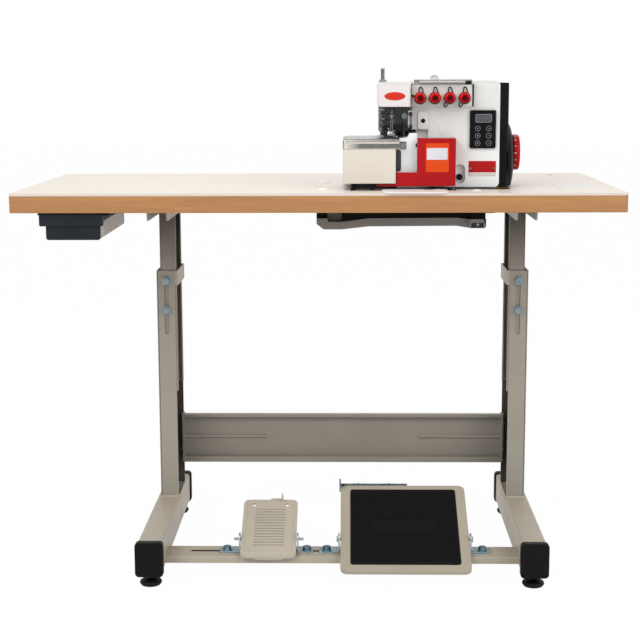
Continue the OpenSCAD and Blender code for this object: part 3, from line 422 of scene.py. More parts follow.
# finishes by slot or own name: two close colours, roughness, size and depth of the grain, then the sheen
materials = {
    # cream's top colour, darker, on upward faces: painted shade
    "cream_paint": paint("cream_enamel", "#dadad6", "#d6d5d0", 0.3, 900, 0.00012, coat=0.15, dust=0.03,
                         lower=("#e9edeb", 0.83, 0.93), top="#cac8c3"),
    "cream_face": paint("face_enamel", "#dfd8d6", "#dad3d1", 0.3, 900, 0.00012, coat=0.15, dust=0.03),
    "cream_warm": paint("warm_cream_enamel", "#d9d2c7", "#d3cbbf", 0.32, 900, 0.00012, coat=0.15, dust=0.03),
    "red_cover": paint("red_enamel", "#ae1117", "#a30d14", 0.3, 700, 0.00012, dust=0.03, specular=0.16),
    # red knobs darker on their downward faces: painted shade
    "red_knob": plastic("red_plastic", "#bd060e", "#b1050c", 0.26, 900, 0.00005, 0.06, shadeBelow="#5a0206"),
    "wheel_red": plastic("wheel_enamel", "#bd1a22", "#b2151d", 0.3, 900, 0.00005, 0.12),
    "badge_red": plastic("badge_enamel", "#cf2f22", "#c52a1e", 0.3, 900, 0.00005, 0.2),
    "black_plastic": plastic("black_plastic", "#0a0a0b", "#0f0f10", 0.5, 1200, 0.00015, 0.12),
    "black_gloss": plastic("black_gloss", "#09090a", "#0d0d0f", 0.4, 1400, 0.0001, 0.1),
    "khaki_paint": khaki("khaki", "#9d978c", "#969085"),
    "khaki_beam": khaki("khaki_beam", "#928c82", "#8b857b"),
    # dark khaki for the faces inside the columns' channels: painted shade
    "khaki_channel_shade": khaki("khaki_channel_shade", "#4f4a43", "#48433d", 0.45, 0.15),
    # inner columns: dark painted shadow of the table top, lit khaki below 0.59 to 0.715 m
    "khaki_inner_table_shadow": khaki("khaki_inner_table_shadow", "#5f5951", "#57514a", 0.45, 0.15, ("#99938a", 0.59, 0.715)),
    "khaki_light": khaki("khaki_light", "#bbb4a5", "#b3ac9d"),
    "khaki_bracket": khaki("khaki_bracket", "#aba498", "#a49d91"),
    "tray_grey": paint("tray_enamel", "#c6c0ba", "#bdb7b1", 0.42, 900, 0.0001, dust=0.1),
    "pale_khaki_paint": khaki("pale_khaki", "#b0a999", "#a8a090"),
    "dark_paint": paint("dark_enamel", "#262728", "#1f2021", 0.35, 800, 0.0001, dust=0.2),
    "grey_paint": paint("grey_paint", "#7f7b76", "#75716c", 0.42, 900, 0.0001, dust=0.1),
    "pan_grey": paint("pan_enamel", "#4f4d4b", "#454341", 0.4, 900, 0.0001, dust=0.2),
    "cast_white": paint("light_casting", "#e9edee", "#e2e6e7", 0.34, 700, 0.0002, coat=0.1, dust=0.04),
    "recess_grey": paint("recess_enamel", "#8b9297", "#7d8489", 0.4, 700, 0.0002, dust=0.1),
    "steel": brushedSteel("satin_steel", "#a9a9a6", "#8b8a86", 0.26),
    "band_steel": brushedSteel("band_steel", "#83827d", "#6d6c68", 0.34, (6, 260, 420),
                               ("#e0dbd0", 0.056, 0.083)),
    "bright_steel": brushedSteel("bright_steel", "#e9e4d9", "#dad5ca", 0.3),
    "oiled_steel": oiledSteel("oiled_steel", oiledLook),
    "zinc": zincPlate("zinc_plate", "#5c7d95", "#8f9ea4"),
    "zinc_light": zincPlate("light_zinc_plate", "#8cabc0", "#bccacf"),
    "laminate": tableLaminate("table_laminate", laminateLook),
    "beech_edge": beechEdge("beech_edge", beechLook),
    "white_plastic": plastic("white_plastic", "#f1efec", "#eae8e4", 0.4, 700, 0.00008, 0.3),
    "slate_plastic": plastic("slate_plastic", "#1b2026", "#171c21", 0.42, 1500, 0.00015, 0.2),
    "rubber": plastic("black_rubber", "#0d0e0f", "#0a0b0c", 0.66, 1100, 0.0003, 0.12),
    "clear_guard": clearPlastic("clear_guard", "#dfe3e2", 0.03),
    "clear_oil": clearPlastic("clear_dome", "#eef1ee", 0.02),
    "grip_grey": plastic("grip_grey", "#3b3f44", "#33373b", 0.4, 900, 0.0001, 0.3),
    "thread_black": plastic("black_wire", "#1d1d20", "#262629", 0.3, 500, 0.0001, 0.2),
    "label_orange": plastic("orange_label", "#d84812", "#cf430f", 0.45, 600, 0.00004, 0.15),
    "label_white": plastic("white_label", "#d5d6dc", "#cccdd3", 0.5, 600, 0.00004, 0.2),
    "label_table": plastic("table_label", "#e2e0dd", "#dcdad6", 0.45, 600, 0.00004, 0.2),
    "label_silver": plastic("silver_label", "#dad3cd", "#d0c9c3", 0.4, 600, 0.00004, 0.3),
    # light grey of the cloth plate's border: painted highlight
    "border_silver": plastic("silver_border", "#cfc7bc", "#c6beb3", 0.34, 600, 0.00004, 0.4),
    "plate_red": plastic("red_plate", "#b01217", "#a60e13", 0.3, 600, 0.00004, 0.18),
    "display_grey": plastic("grey_print", "#8d9195", "#80848a", 0.4, 600, 0.00003, 0.2),
    "display_dark": plastic("dark_print", "#303236", "#292b2e", 0.3, 600, 0.00003, 0.2),
    "tick_white": plastic("tick_print", "#d9b9b6", "#cfaeab", 0.4, 600, 0.00003, 0.2),
}
print("materials made:", len(materials))

# stage: pale floor, white surroundings, soft lamps
stageSetup = {
    "floorSize": 40,
    "floorColour": "#f4f4f4",
    "floorRoughness": 0.9,
    "floorGlow": 0.985,
    "worldLight": 0.62,
    "lamps": [
        {"place": (-1.9, -2.6, 2.9), "aim": (0, 0, 0.6), "size": 2.2, "power": 62},
        {"place": (2.3, -2.4, 2.4), "aim": (0.1, 0, 0.6), "size": 2.0, "power": 42},
        {"place": (0.0, 1.6, 3.2), "aim": (0, 0, 0.7), "size": 2.5, "power": 18},
    ],
}


def seenDirectly(tree):
    path = addNode(tree, "ShaderNodeLightPath")
    seen = path.outputs["Is Camera Ray"]
    for ray in ("Is Glossy Ray", "Is Transmission Ray"):
        either = addNode(tree, "ShaderNodeMath", operation="MAXIMUM")
        tree.links.new(seen, either.inputs[0])
        tree.links.new(path.outputs[ray], either.inputs[1])
        seen = either.outputs[0]
    return seen


def addFloor(setup):
    bm = bmesh.new()
    bmesh.ops.create_grid(bm, x_segments=2, y_segments=2, size=setup["floorSize"] / 2)
    mesh = bpy.data.meshes.new("floor")
    bm.to_mesh(mesh)
    bm.free()
    floor = bpy.data.objects.new("floor", mesh)
    bpy.context.collection.objects.link(floor)
    material, tree, shader = startMaterial("pale_floor")
    shader.inputs["Base Color"].default_value = linear(setup["floorColour"])
    shader.inputs["Roughness"].default_value = setup["floorRoughness"]
    glow = addNode(tree, "ShaderNodeEmission")
    mix = addNode(tree, "ShaderNodeMixShader")
    amount = addNode(tree, "ShaderNodeMath", operation="MULTIPLY")
    amount.inputs[1].default_value = setup["floorGlow"]
    tree.links.new(seenDirectly(tree), amount.inputs[0])
    tree.links.new(amount.outputs[0], mix.inputs["Fac"])
    tree.links.new(shader.outputs[0], mix.inputs[1])
    tree.links.new(glow.outputs[0], mix.inputs[2])
    tree.links.new(mix.outputs[0], tree.nodes["Material Output"].inputs["Surface"])
    mesh.materials.append(material)


def addWorld(setup):
    world = bpy.data.worlds.new("studio")
    world.use_nodes = True
    tree = world.node_tree
    background = tree.nodes["Background"]
    background.inputs["Color"].default_value = (1, 1, 1, 1)
    strength = spread(tree, seenDirectly(tree), setup["worldLight"], 1, 0, 1)
    tree.links.new(strength, background.inputs["Strength"])
    bpy.context.scene.world = world


def addLamp(number, lamp):
    data = bpy.data.lights.new("lamp_%d" % number, "AREA")
    data.size = lamp["size"]
    data.energy = lamp["power"]
    light = bpy.data.objects.new("lamp_%d" % number, data)
    light.location = lamp["place"]
    ahead = Vector(lamp["aim"]) - Vector(lamp["place"])
    light.rotation_euler = ahead.to_track_quat("-Z", "Y").to_euler()
    bpy.context.collection.objects.link(light)


addFloor(stageSetup)
addWorld(stageSetup)
for number, lamp in enumerate(stageSetup["lamps"]):
    addLamp(number, lamp)
bpy.context.scene.view_settings.view_transform = "Standard"
print("stage lit")

# shared mesh steps
roundedEdges = {"merge": 0.00002, "flatten": 0.6, "segments": 2, "angle": 34}


def finishPiece(bm, name, slot, body, material=None, angle=35, recalc=True):
    if recalc:
        bmesh.ops.recalc_face_normals(bm, faces=bm.faces)
    mesh = bpy.data.meshes.new(name)
    bm.to_mesh(mesh)
    bm.free()
    mesh.materials.append(materials[material or slot])
    mesh.shade_smooth()
    mesh.set_sharp_from_angle(angle=math.radians(angle))
    piece = bpy.data.objects.new(name, mesh)
    bpy.context.collection.objects.link(piece)
    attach(piece, body)
    return piece


def addBevel(piece, width, segments, angle):
    modifier = piece.modifiers.new("edges", "BEVEL")
    modifier.width = width
    modifier.segments = segments
    modifier.limit_method = "ANGLE"
    modifier.angle_limit = math.radians(angle)
    modifier.harden_normals = True
    modifier.use_clamp_overlap = True


def roundedNode(node, width, material=None, second=None, chosen=None):
    bm = bmesh.new()
    bm.from_mesh(frame["nodes"][node].data)
    bmesh.ops.remove_doubles(bm, verts=bm.verts, dist=roundedEdges["merge"])
    flat = math.radians(roundedEdges["flatten"])
    bmesh.ops.dissolve_limit(bm, angle_limit=flat, verts=bm.verts, edges=bm.edges)
    if second:
        for face in bm.faces:
            face.material_index = int(chosen(face.calc_center_median() / mm - headOrigin))
    piece = finishPiece(bm, node + "_dressed", slotOf[node], bodyOf[node], material, recalc=False)
    if second:
        piece.data.materials.append(materials[second])
    addBevel(piece, width * mm, roundedEdges["segments"], roundedEdges["angle"])
    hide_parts(node)


# width in millimetres of each node's rounded edges
roundedWidths = {
    "column_straps": 0.9, "cross_beam": 1.2, "pedal_brackets": 0.5, "stand_bolts": 0.5, "tube_end_caps": 1.6,
    "foot_front_left": 0.8, "foot_front_right": 0.8, "foot_rear_left": 0.8, "foot_rear_right": 0.8,
    "treadle_frame": 2.4, "treadle_rod_plate": 0.5, "lift_pedal": 1.6, "edge_band": 1.6, "table_insert": 0.7,
    "column_bolts": 0.5, "table_brackets": 1.0, "support_frame": 1.6, "frame_bolts": 0.4, "drawer_rails": 0.4,
    "drawer_tray": 1.0, "drawer_front": 1.8, "base_pan": 0.8, "head_casting": 1.2, "arm_frame": 2.0,
    "bed_casting": 1.2, "needle_plate": 0.4, "control_panel": 0.8, "motor_cover": 2.6, "face_cover": 1.8,
    "bed_cover": 1.4, "cloth_plate": 1.0, "front_cover": 1.4, "eye_guard": 0.5, "presser_foot": 0.5,
    "handwheel": 0.9, "lower_looper": 0.4, "upper_looper": 0.4, "lower_knife": 0.2, "feed_dog": 0.15,
    "main_shaft": 0.5, "stitch_button": 0.8,
}
nodeFinish = {
    "cross_beam": "khaki_beam", "table_brackets": "khaki_bracket", "lift_pedal": "khaki_light",
    "drawer_tray": "tray_grey", "pedal_brackets": "zinc_light", "handwheel": "wheel_red",
    "base_pan": "pan_grey", "bed_cover": "cream_warm", "face_cover": "cream_face",
    "presser_foot": "oiled_steel", "lower_looper": "oiled_steel", "upper_looper": "oiled_steel",
    "lower_knife": "oiled_steel",
}
for node, cadPiece in frame["nodes"].items():
    cadPiece.data.materials.clear()
    cadPiece.data.materials.append(materials[slotOf[node]])
for node, width in roundedWidths.items():
    roundedNode(node, width, nodeFinish.get(node))

# nodes with a second material, on the faces whose middles a rule picks; inside the columns' channels and in the
# treadle bar's slot the second material is painted shade
standMiddle = 46.5
faceRules = {
    "knifeHolderAbove": 112,
    "plateWallBefore": -12.6,
    "guideEndRightOf": 119,
    "guideHook": (105.9, 213.9),
    "needleClampAbove": 131,
    "outerColumn": (401, (27, 146)),
    "innerColumn": (393.5, ()),
    "slotY": (-219, -209),
    "slotZ": (42.6, 44.9),
    "near": 0.5,
}


def onGuideEnds(place):
    hookX, hookZ = faceRules["guideHook"]
    return place.x > faceRules["guideEndRightOf"] or (place.x > hookX and place.z < hookZ)


def insideColumn(place, column):
    across, walls = faceRules[column]
    x = abs(place.x + headOrigin.x - standMiddle)
    y = place.y + headOrigin.y
    return any(abs(gap) < faceRules["near"] for gap in (x - across, *(y - wall for wall in walls)))


def insideSlot(place):
    spans = ((place.y + headOrigin.y, faceRules["slotY"]), (place.z + headOrigin.z, faceRules["slotZ"]))
    return all(low < value < high for value, (low, high) in spans)


twoTone = {
    "upper_knife": (0.2, "oiled_steel", "dark_paint", lambda place: place.z > faceRules["knifeHolderAbove"]),
    "tension_plate": (0.8, None, "rubber", lambda place: place.y < faceRules["plateWallBefore"]),
    "thread_guide": (0.4, None, "thread_black", onGuideEnds),
    # the columns' channel faces get the dark khaki: painted shade
    "outer_columns": (0.9, None, "khaki_channel_shade", lambda place: insideColumn(place, "outerColumn")),
    "inner_columns": (0.9, "khaki_inner_table_shadow", "khaki_channel_shade", lambda place: insideColumn(place, "innerColumn")),
    "needle_bar": (0.3, None, "oiled_steel", lambda place: place.z > faceRules["needleClampAbove"]),
    # walls of the treadle bar's slot in black rubber: painted shade
    "treadle_bar": (0.8, None, "rubber", insideSlot),
}
for node, rule in twoTone.items():
    roundedNode(node, *rule)
print("edges rounded on", len(roundedWidths) + len(twoTone), "nodes")

# shapes of the detail pieces of the head, in millimetres from its front left foot
smoothness = {"corner": 5, "rim": 3, "turned": 48, "turnedMerge": 0.001, "wireRound": 2, "wireLength": 6}
screwShape = {"sunk": -0.4, "shoulder": 0.6, "top": 0.8, "socket": 0.3, "socketFloor": 0.25, "steps": 24}


def inMetres(bm):
    bmesh.ops.translate(bm, vec=headOrigin, verts=bm.verts)
    bmesh.ops.scale(bm, vec=(mm, mm, mm), verts=bm.verts)
    return bm


def plate(x, z, y, radius=0, rounded=0):
    bm = bmesh.new()
    bmesh.ops.create_grid(bm, x_segments=1, y_segments=1, size=0.5)
    bmesh.ops.scale(bm, vec=(x[1] - x[0], z[1] - z[0], 1), verts=bm.verts)
    if radius:
        bmesh.ops.bevel(bm, geom=bm.verts[:], affect="VERTICES", offset=radius, segments=smoothness["corner"],
                        profile=0.5, material=-1)
    grown = bmesh.ops.extrude_face_region(bm, geom=bm.faces[:])
    front = [item for item in grown["geom"] if isinstance(item, bmesh.types.BMVert)]
    bmesh.ops.translate(bm, vec=(0, 0, y[1] - y[0]), verts=front)
    if rounded:
        rim = [edge for edge in bm.edges if all(vert in front for vert in edge.verts)]
        bmesh.ops.bevel(bm, geom=rim, affect="EDGES", offset=rounded, segments=smoothness["rim"], profile=0.5,
                        material=-1)
    bmesh.ops.rotate(bm, cent=(0, 0, 0), matrix=Matrix.Rotation(math.radians(90), 3, "X"), verts=bm.verts)
    bmesh.ops.translate(bm, vec=((x[0] + x[1]) / 2, y[1], (z[0] + z[1]) / 2), verts=bm.verts)
    return inMetres(bm)


def addPlate(name, x, z, y, slot, body="table", material=None, radius=0, rounded=0, angle=35):
    finishPiece(plate(x, z, y, radius, rounded), name, slot, body, material, angle)


def spun(profile, centre, axis=(0, -1, 0), steps=smoothness["turned"]):
    bm = bmesh.new()
    line = [bm.verts.new((radius, 0, height)) for radius, height in profile]
    for first, second in zip(line, line[1:]):
        bm.edges.new((first, second))
    bmesh.ops.spin(bm, geom=bm.verts[:] + bm.edges[:], cent=(0, 0, 0), axis=(0, 0, 1), angle=2 * math.pi,
                   steps=steps, use_merge=True)
    bmesh.ops.remove_doubles(bm, verts=bm.verts, dist=smoothness["turnedMerge"])
    turn = Vector(axis).to_track_quat("Z", "Y").to_matrix()
    bmesh.ops.rotate(bm, cent=(0, 0, 0), matrix=turn, verts=bm.verts)
    bmesh.ops.translate(bm, vec=centre, verts=bm.verts)
    return inMetres(bm)


def wire(points, radius, cyclic=False, sharp=False):
    curve = bpy.data.curves.new("wire", "CURVE")
    curve.dimensions = "3D"
    curve.bevel_depth = radius
    curve.bevel_resolution = smoothness["wireRound"]
    curve.resolution_u = smoothness["wireLength"]
    curve.use_fill_caps = True
    spline = curve.splines.new("BEZIER")
    spline.bezier_points.add(len(points) - 1)
    spline.use_cyclic_u = cyclic
    for knot, place in zip(spline.bezier_points, points):
        knot.co = place
        knot.handle_left_type = knot.handle_right_type = "VECTOR" if sharp else "AUTO"
    carrier = bpy.data.objects.new("wire", curve)
    mesh = bpy.data.meshes.new_from_object(carrier)
    bm = bmesh.new()
    bm.from_mesh(mesh)
    bpy.data.objects.remove(carrier)
    bpy.data.curves.remove(curve)
    bpy.data.meshes.remove(mesh)
    return inMetres(bm)


def joined(parts):
    whole = bmesh.new()
    for part in parts:
        bmesh.ops.recalc_face_normals(part, faces=part.faces)
        carrier = bpy.data.meshes.new("part")
        part.to_mesh(carrier)
        part.free()
        whole.from_mesh(carrier)
        bpy.data.meshes.remove(carrier)
    return whole


def screwHead(x, z, y, radius, height):
    shape = screwShape
    shoulder = height * shape["shoulder"]
    dome = [(0, shape["sunk"]), (radius, shape["sunk"]), (radius, shoulder), (radius * shape["top"], height),
            (radius * shape["socket"], height), (radius * shape["socketFloor"], shoulder), (0, shoulder)]
    return spun(dome, (x, y, z), steps=shape["steps"])


# oval badge on the face cover, left bare
badge = {
    "centre": (-35, 184.4),
    "half": (21.5, 8.6),
    "front": -35,
    "height": 1.5,
    "dome": ((0, 1.0), (0.5, 0.93), (0.8, 0.72), (0.93, 0.4), (1, 0), (1, -0.4), (0, -0.4)),
    "rings": (("badge_rim", 1.0, 0.45, "cream_paint", None), ("badge", 0, 1, "red_knob", "badge_red")),
    "steps": 64,
}


def addBadge(setup):
    across, up = setup["half"]
    for name, grow, lift, slot, material in setup["rings"]:
        dome = [(radius, height * lift * setup["height"]) for radius, height in setup["dome"]]
        oval = spun(dome, (0, 0, 0), steps=setup["steps"])
        centre = headOrigin * mm
        bmesh.ops.translate(oval, vec=-centre, verts=oval.verts)
        bmesh.ops.scale(oval, vec=(across + grow, 1, up + grow), verts=oval.verts)
        place = Vector((setup["centre"][0], setup["front"], setup["centre"][1])) * mm
        bmesh.ops.translate(oval, vec=centre + place, verts=oval.verts)
        finishPiece(oval, name, slot, "table", material, angle=50)


addBadge(badge)

# tension knobs: turned caps with a ring of tick marks, their posts' ends, and wire guides round them
knob = {
    "x": (15.5, 44.4, 73.6, 103.3),
    "z": 180.3,
    "back": -19,
    "profile": ((3.05, 0), (10.75, 0), (11.9, 0.8), (12.25, 2), (12.25, 10), (11.9, 12.6), (10.9, 15.4),
                (9.4, 17.6), (7.6, 19.2), (6.2, 19.8), (5.4, 19.4), (4.9, 17.2), (3.05, 17)),
    "steps": 64,
    "post": ((0, 18.8), (1.8, 18.6), (2.8, 17.8), (2.9, 16.2), (0, 16.2)),
    "postSteps": 32,
    "ticks": 20,
    "tickAt": (8.75, 18.2),
    "tickLengths": (1.7, 0.9),
    "tickThick": (0.4, 0.5),
    "tickLean": -42,
    "loop": ((-6, 6), (-2.2, 12.4), (1, 21.5), (6.4, 12.4), (9, 6)),
    "tail": ((-7, -7), (-9.7, -12), (-8.7, -17.9), (-3.8, -14), (-1, -8)),
    "tailFrom": 3,
    "wire": 1.05,
    "depth": -13.5,
}


def knobTicks(setup, x):
    reach, height = setup["tickAt"]
    lean = Matrix.Rotation(math.radians(setup["tickLean"]), 4, "X")
    place = Matrix.Translation((x, setup["back"] - height, setup["z"]))
    marks = bmesh.new()
    for step in range(setup["ticks"]):
        around = Matrix.Rotation(2 * math.pi * step / setup["ticks"], 4, "Y")
        bar = Matrix.Diagonal((*setup["tickThick"], setup["tickLengths"][step % 2], 1))
        matrix = place @ around @ Matrix.Translation((0, 0, reach)) @ lean @ bar
        bmesh.ops.create_cube(marks, size=1, matrix=matrix)
    return inMetres(marks)


def addKnobs(setup):
    loops = []
    posts = []
    for number, x in enumerate(setup["x"], 1):
        node = "tension_knob_%d" % number
        centre = (x, setup["back"], setup["z"])
        cap = finishPiece(spun(setup["profile"], centre, steps=setup["steps"]), node + "_cap", "red_knob", node,
                          angle=40)
        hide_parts(node)
        finishPiece(knobTicks(setup, x), node + "_ticks", "white_plastic", node, "tick_white")
        shapes = [setup["loop"]] if number < setup["tailFrom"] else [setup["loop"], setup["tail"]]
        for shape in shapes:
            loops.append(wire([(x + dx, setup["depth"], setup["z"] + dz) for dx, dz in shape], setup["wire"]))
        posts.append(spun(setup["post"], centre, steps=setup["postSteps"]))
    finishPiece(joined(loops), "tension_wires", "black_plastic", "table", "thread_black", angle=60)
    finishPiece(joined(posts), "tension_post_ends", "black_plastic", "table", "rubber", angle=50)


addKnobs(knob)

# raised cover with a rubber plug on the front of the body
plugCover = {
    "cover": {"x": (11.6, 33.8), "z": (118, 155), "y": (-3.2, 1), "radius": 5, "rounded": 1.1, "angle": 40},
    "plug": (22.7, -3.2, 135.3),
    "profile": ((0, 2), (2.2, 1.9), (4.0, 1.2), (4.5, 0.3), (4.5, -1), (0, -1)),
    "steps": 32,
}
addPlate("plug_cover", slot="cream_paint", **plugCover["cover"])
plug = spun(plugCover["profile"], plugCover["plug"], steps=plugCover["steps"])
finishPiece(plug, "plug", "rubber", "table", angle=50)

# screw of the tension plate, strip behind the eye guard and the red index mark
headMarks = {
    "screw": {"x": 1.5, "z": 184.6, "y": -13, "radius": 2.4, "height": 1.4},
    "strip": {"x": (-7.8, -1.6), "z": (123, 156), "y": (-20.35, -19.9), "radius": 1},
    "index": {"x": (-7.2, -2.2), "z": (147.9, 149.5), "y": (-20.6, -20.3)},
}
finishPiece(screwHead(**headMarks["screw"]), "tension_plate_screw", "dark_paint", "table", "rubber", angle=40)
addPlate("guard_strip", slot="cream_paint", **headMarks["strip"])
addPlate("index_mark", slot="red_knob", material="plate_red", **headMarks["index"])

# membrane keypad: display with four digits, and six ring keys
keypad = {
    "front": -5,
    "bezel": {"x": (127, 159.2), "z": (131.8, 148.2), "y": (-5.5, -4.8), "radius": 1.6, "rounded": 0.2},
    "glass": {"x": (128.6, 157.6), "z": (133.4, 146.6), "y": (-5.8, -5.3), "radius": 0.8},
    "digitX": (133.2, 139.9, 146.6, 153.3),
    "digitZ": 140,
    "digitHalf": (2.1, 4.4),
    "digitY": (-6.05, -5.7),
    "strokeHalf": 0.45,
    "strokeGap": 0.5,
    "keyX": (131.7, 153.8),
    "keyZ": (119.7, 105.3, 90.9),
    "keyRadius": 5.3,
    "keyLine": 0.7,
    "keyHeight": 0.35,
    "signY": (-5.35, -4.8),
    "plusHalf": ((1.6, 0.35), (0.35, 1.8)),
    "minusHalf": (1.7, 0.4),
    "dotRadii": (1.6, 0.2),
    "dotSteps": 20,
    "steps": 36,
    "sunk": -0.2,
}


def ringAt(setup, x, z, outer, inner, steps):
    low, high = setup["sunk"], setup["keyHeight"]
    profile = [(inner, low), (inner, high), (outer, high), (outer, low), (inner, low)]
    return spun(profile, (x, setup["front"], z), steps=steps)


def barAt(x, z, half, y):
    return plate((x - half[0], x + half[0]), (z - half[1], z + half[1]), y)


def addDigits(setup):
    strokes = []
    halfWide, halfTall = setup["digitHalf"]
    thick = setup["strokeHalf"]
    gap = setup["strokeGap"]
    z = setup["digitZ"]
    for x in setup["digitX"]:
        for dz in (-halfTall, 0, halfTall):
            strokes.append(barAt(x, z + dz, (halfWide - gap, thick), setup["digitY"]))
        for dx in (-halfWide, halfWide):
            for low, high in ((-halfTall, 0), (0, halfTall)):
                strokes.append(plate((x + dx - thick, x + dx + thick), (z + low + gap, z + high - gap),
                                     setup["digitY"]))
    finishPiece(joined(strokes), "display_digits", "black_plastic", "table", "display_grey")


def addKeys(setup):
    keys = []
    radius = setup["keyRadius"]
    for row, z in enumerate(setup["keyZ"]):
        for side, x in enumerate(setup["keyX"]):
            keys.append(ringAt(setup, x, z, radius, radius - setup["keyLine"], setup["steps"]))
            if row == 0:
                keys += [barAt(x, z, half, setup["signY"]) for half in setup["plusHalf"]]
            elif side:
                keys.append(barAt(x, z, setup["minusHalf"], setup["signY"]))
            else:
                keys.append(ringAt(setup, x, z, *setup["dotRadii"], setup["dotSteps"]))
    finishPiece(joined(keys), "keypad_keys", "black_plastic", "table", "display_grey")


addPlate("display_bezel", slot="black_plastic", material="display_grey", **keypad["bezel"])
addPlate("display_glass", slot="black_plastic", material="display_dark", **keypad["glass"])
addDigits(keypad)
addKeys(keypad)

# bare nameplate, silver at its foot, held by two screws
nameplate = {
    "plate": {"x": (114.8, 169.6), "z": (32.2, 55), "y": (-0.9, 0.2), "radius": 1.2, "rounded": 0.3},
    "foot": {"x": (114.8, 169.6), "z": (25, 32.2), "y": (-0.8, 0.2), "radius": 0.8, "rounded": 0.2},
    "screws": ((118.3, 40.2), (166.1, 40.6)),
    "screwSize": (-0.9, 1.9, 1.1),
}
addPlate("nameplate", slot="red_cover", material="plate_red", **nameplate["plate"])
addPlate("nameplate_foot", slot="steel", material="label_silver", **nameplate["foot"])
heads = [screwHead(x, z, *nameplate["screwSize"]) for x, z in nameplate["screws"]]
finishPiece(joined(heads), "nameplate_screws", "zinc", "table")

# bare label on the red cover, with a white panel
coverLabels = {
    "cover_label": {"slot": "red_cover", "material": "label_orange", "x": (26.5, 72.5), "z": (35.5, 92.5),
                    "y": (-42.35, -41.9), "radius": 2.5},
    "cover_label_panel": {"slot": "white_plastic", "material": "label_white", "x": (28.6, 69.6), "z": (60, 83),
                          "y": (-42.6, -42.2), "radius": 0.6},
}
for name, values in coverLabels.items():
    addPlate(name, body="front_cover", **values)

# marks round the rim of the handwheel, every second bar narrow
wheelMarks = {
    "count": 16,
    "shaft": (80, 68.5),
    "radius": 36,
    "bar": (211.5, 216),
    "barWidths": (2.6, 1.5),
    "dot": (205, 206.4),
    "dotWidth": 0.9,
    "height": 0.5,
}


def addWheelMarks(setup):
    y, z = setup["shaft"]
    marks = bmesh.new()
    for step in range(setup["count"]):
        around = Matrix.Rotation(2 * math.pi * step / setup["count"], 4, "X")
        rows = ((*setup["bar"], setup["barWidths"][step % 2]), (*setup["dot"], setup["dotWidth"]))
        for low, high, width in rows:
            place = Matrix.Translation(((low + high) / 2, y, z)) @ around
            bar = Matrix.Translation((0, 0, setup["radius"])) @ Matrix.Diagonal(
                (high - low, width, setup["height"], 1))
            bmesh.ops.create_cube(marks, size=1, matrix=place @ bar)
    finishPiece(inMetres(marks), "handwheel_marks", "white_plastic", "main_shaft", "tick_white")


addWheelMarks(wheelMarks)

# pressure screw: threaded rod with a hollow end, and its stepped nut
pressureScrew = {
    "at": (-58, 14, 0),
    "low": 199,
    "outer": 4.25,
    "root": 3.7,
    "pitch": 1.25,
    "threadFrom": 218,
    "threadTo": 239.2,
    "tip": ((3.2, 240), (1.6, 240), (1.4, 238.5), (0, 238.5)),
    "nut": ((3.9, 212.3), (8.5, 212.3), (8.5, 213.5), (7.2, 213.9), (7.2, 216.3), (6.6, 216.9), (3.9, 216.9),
            (3.9, 212.3)),
    "steps": 40,
}


def addPressureScrew(setup):
    root = setup["root"]
    profile = [(0, setup["low"]), (root, setup["low"])]
    height = setup["threadFrom"]
    while height + setup["pitch"] < setup["threadTo"]:
        profile += [(root, height), (setup["outer"], height + setup["pitch"] / 2)]
        height += setup["pitch"]
    profile += [(root, height), *setup["tip"]]
    parts = [spun(line, setup["at"], (0, 0, 1), setup["steps"]) for line in (profile, setup["nut"])]
    piece = finishPiece(joined(parts), "pressure_screw_rod", "steel", "pressure_screw", angle=25)
    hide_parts("pressure_screw")


addPressureScrew(pressureScrew)

# small parts round the needle, seen under and through the eye guard
needleArea = {
    "block": ((-62.5, -52.5), (147, 160), (-13, 24.5), 1.5, 0.8),
    "blockFoot": ((-61, -54), (138, 148), (-9, 24.5), 1, 0.5),
    "blockScrew": (-58.2, 143.4, -9, 3.1, 3.4),
    "disc": {"x": (-20.5, -10.5), "z": (139.5, 151.5), "y": (-21.8, -19.8), "radius": 4.6, "rounded": 1.2},
    "slotX": (-19.2, -15.4, -11.6),
    "slotHalf": 1.1,
    "slotZ": (153, 159),
    "slotY": (-20.6, -19.8),
    "slotRadius": 1,
    "guideArc": ((-44.5, -6, 148), (-43, -8, 146.6), (-39.6, -8.5, 146), (-36.3, -8, 146.6), (-34.8, -6, 148)),
    "guideWire": 0.8,
    "guideLug": ((-40.9, -38.7), (141, 147), (-9, -1), 0.6, 0.3),
    "edgeGuide": (((-61, -54.5), (108, 125), (-13, -6), 1.5, 0.6),
                  ((-57, -50), (104.5, 111), (-15, -8), 1, 0.5)),
    "footRing": ((-47.5, -6, 121), (-44.5, -9, 116.2), (-40, -11, 114), (-34.5, -10, 116.5), (-31.5, -7, 113),
                 (-33.5, -5, 108), (-37, -4, 106.2)),
    "footWire": 1.1,
    "footToe": ((-47, -33), (104.6, 110.4), (-12, -4), 2, 0.7),
}


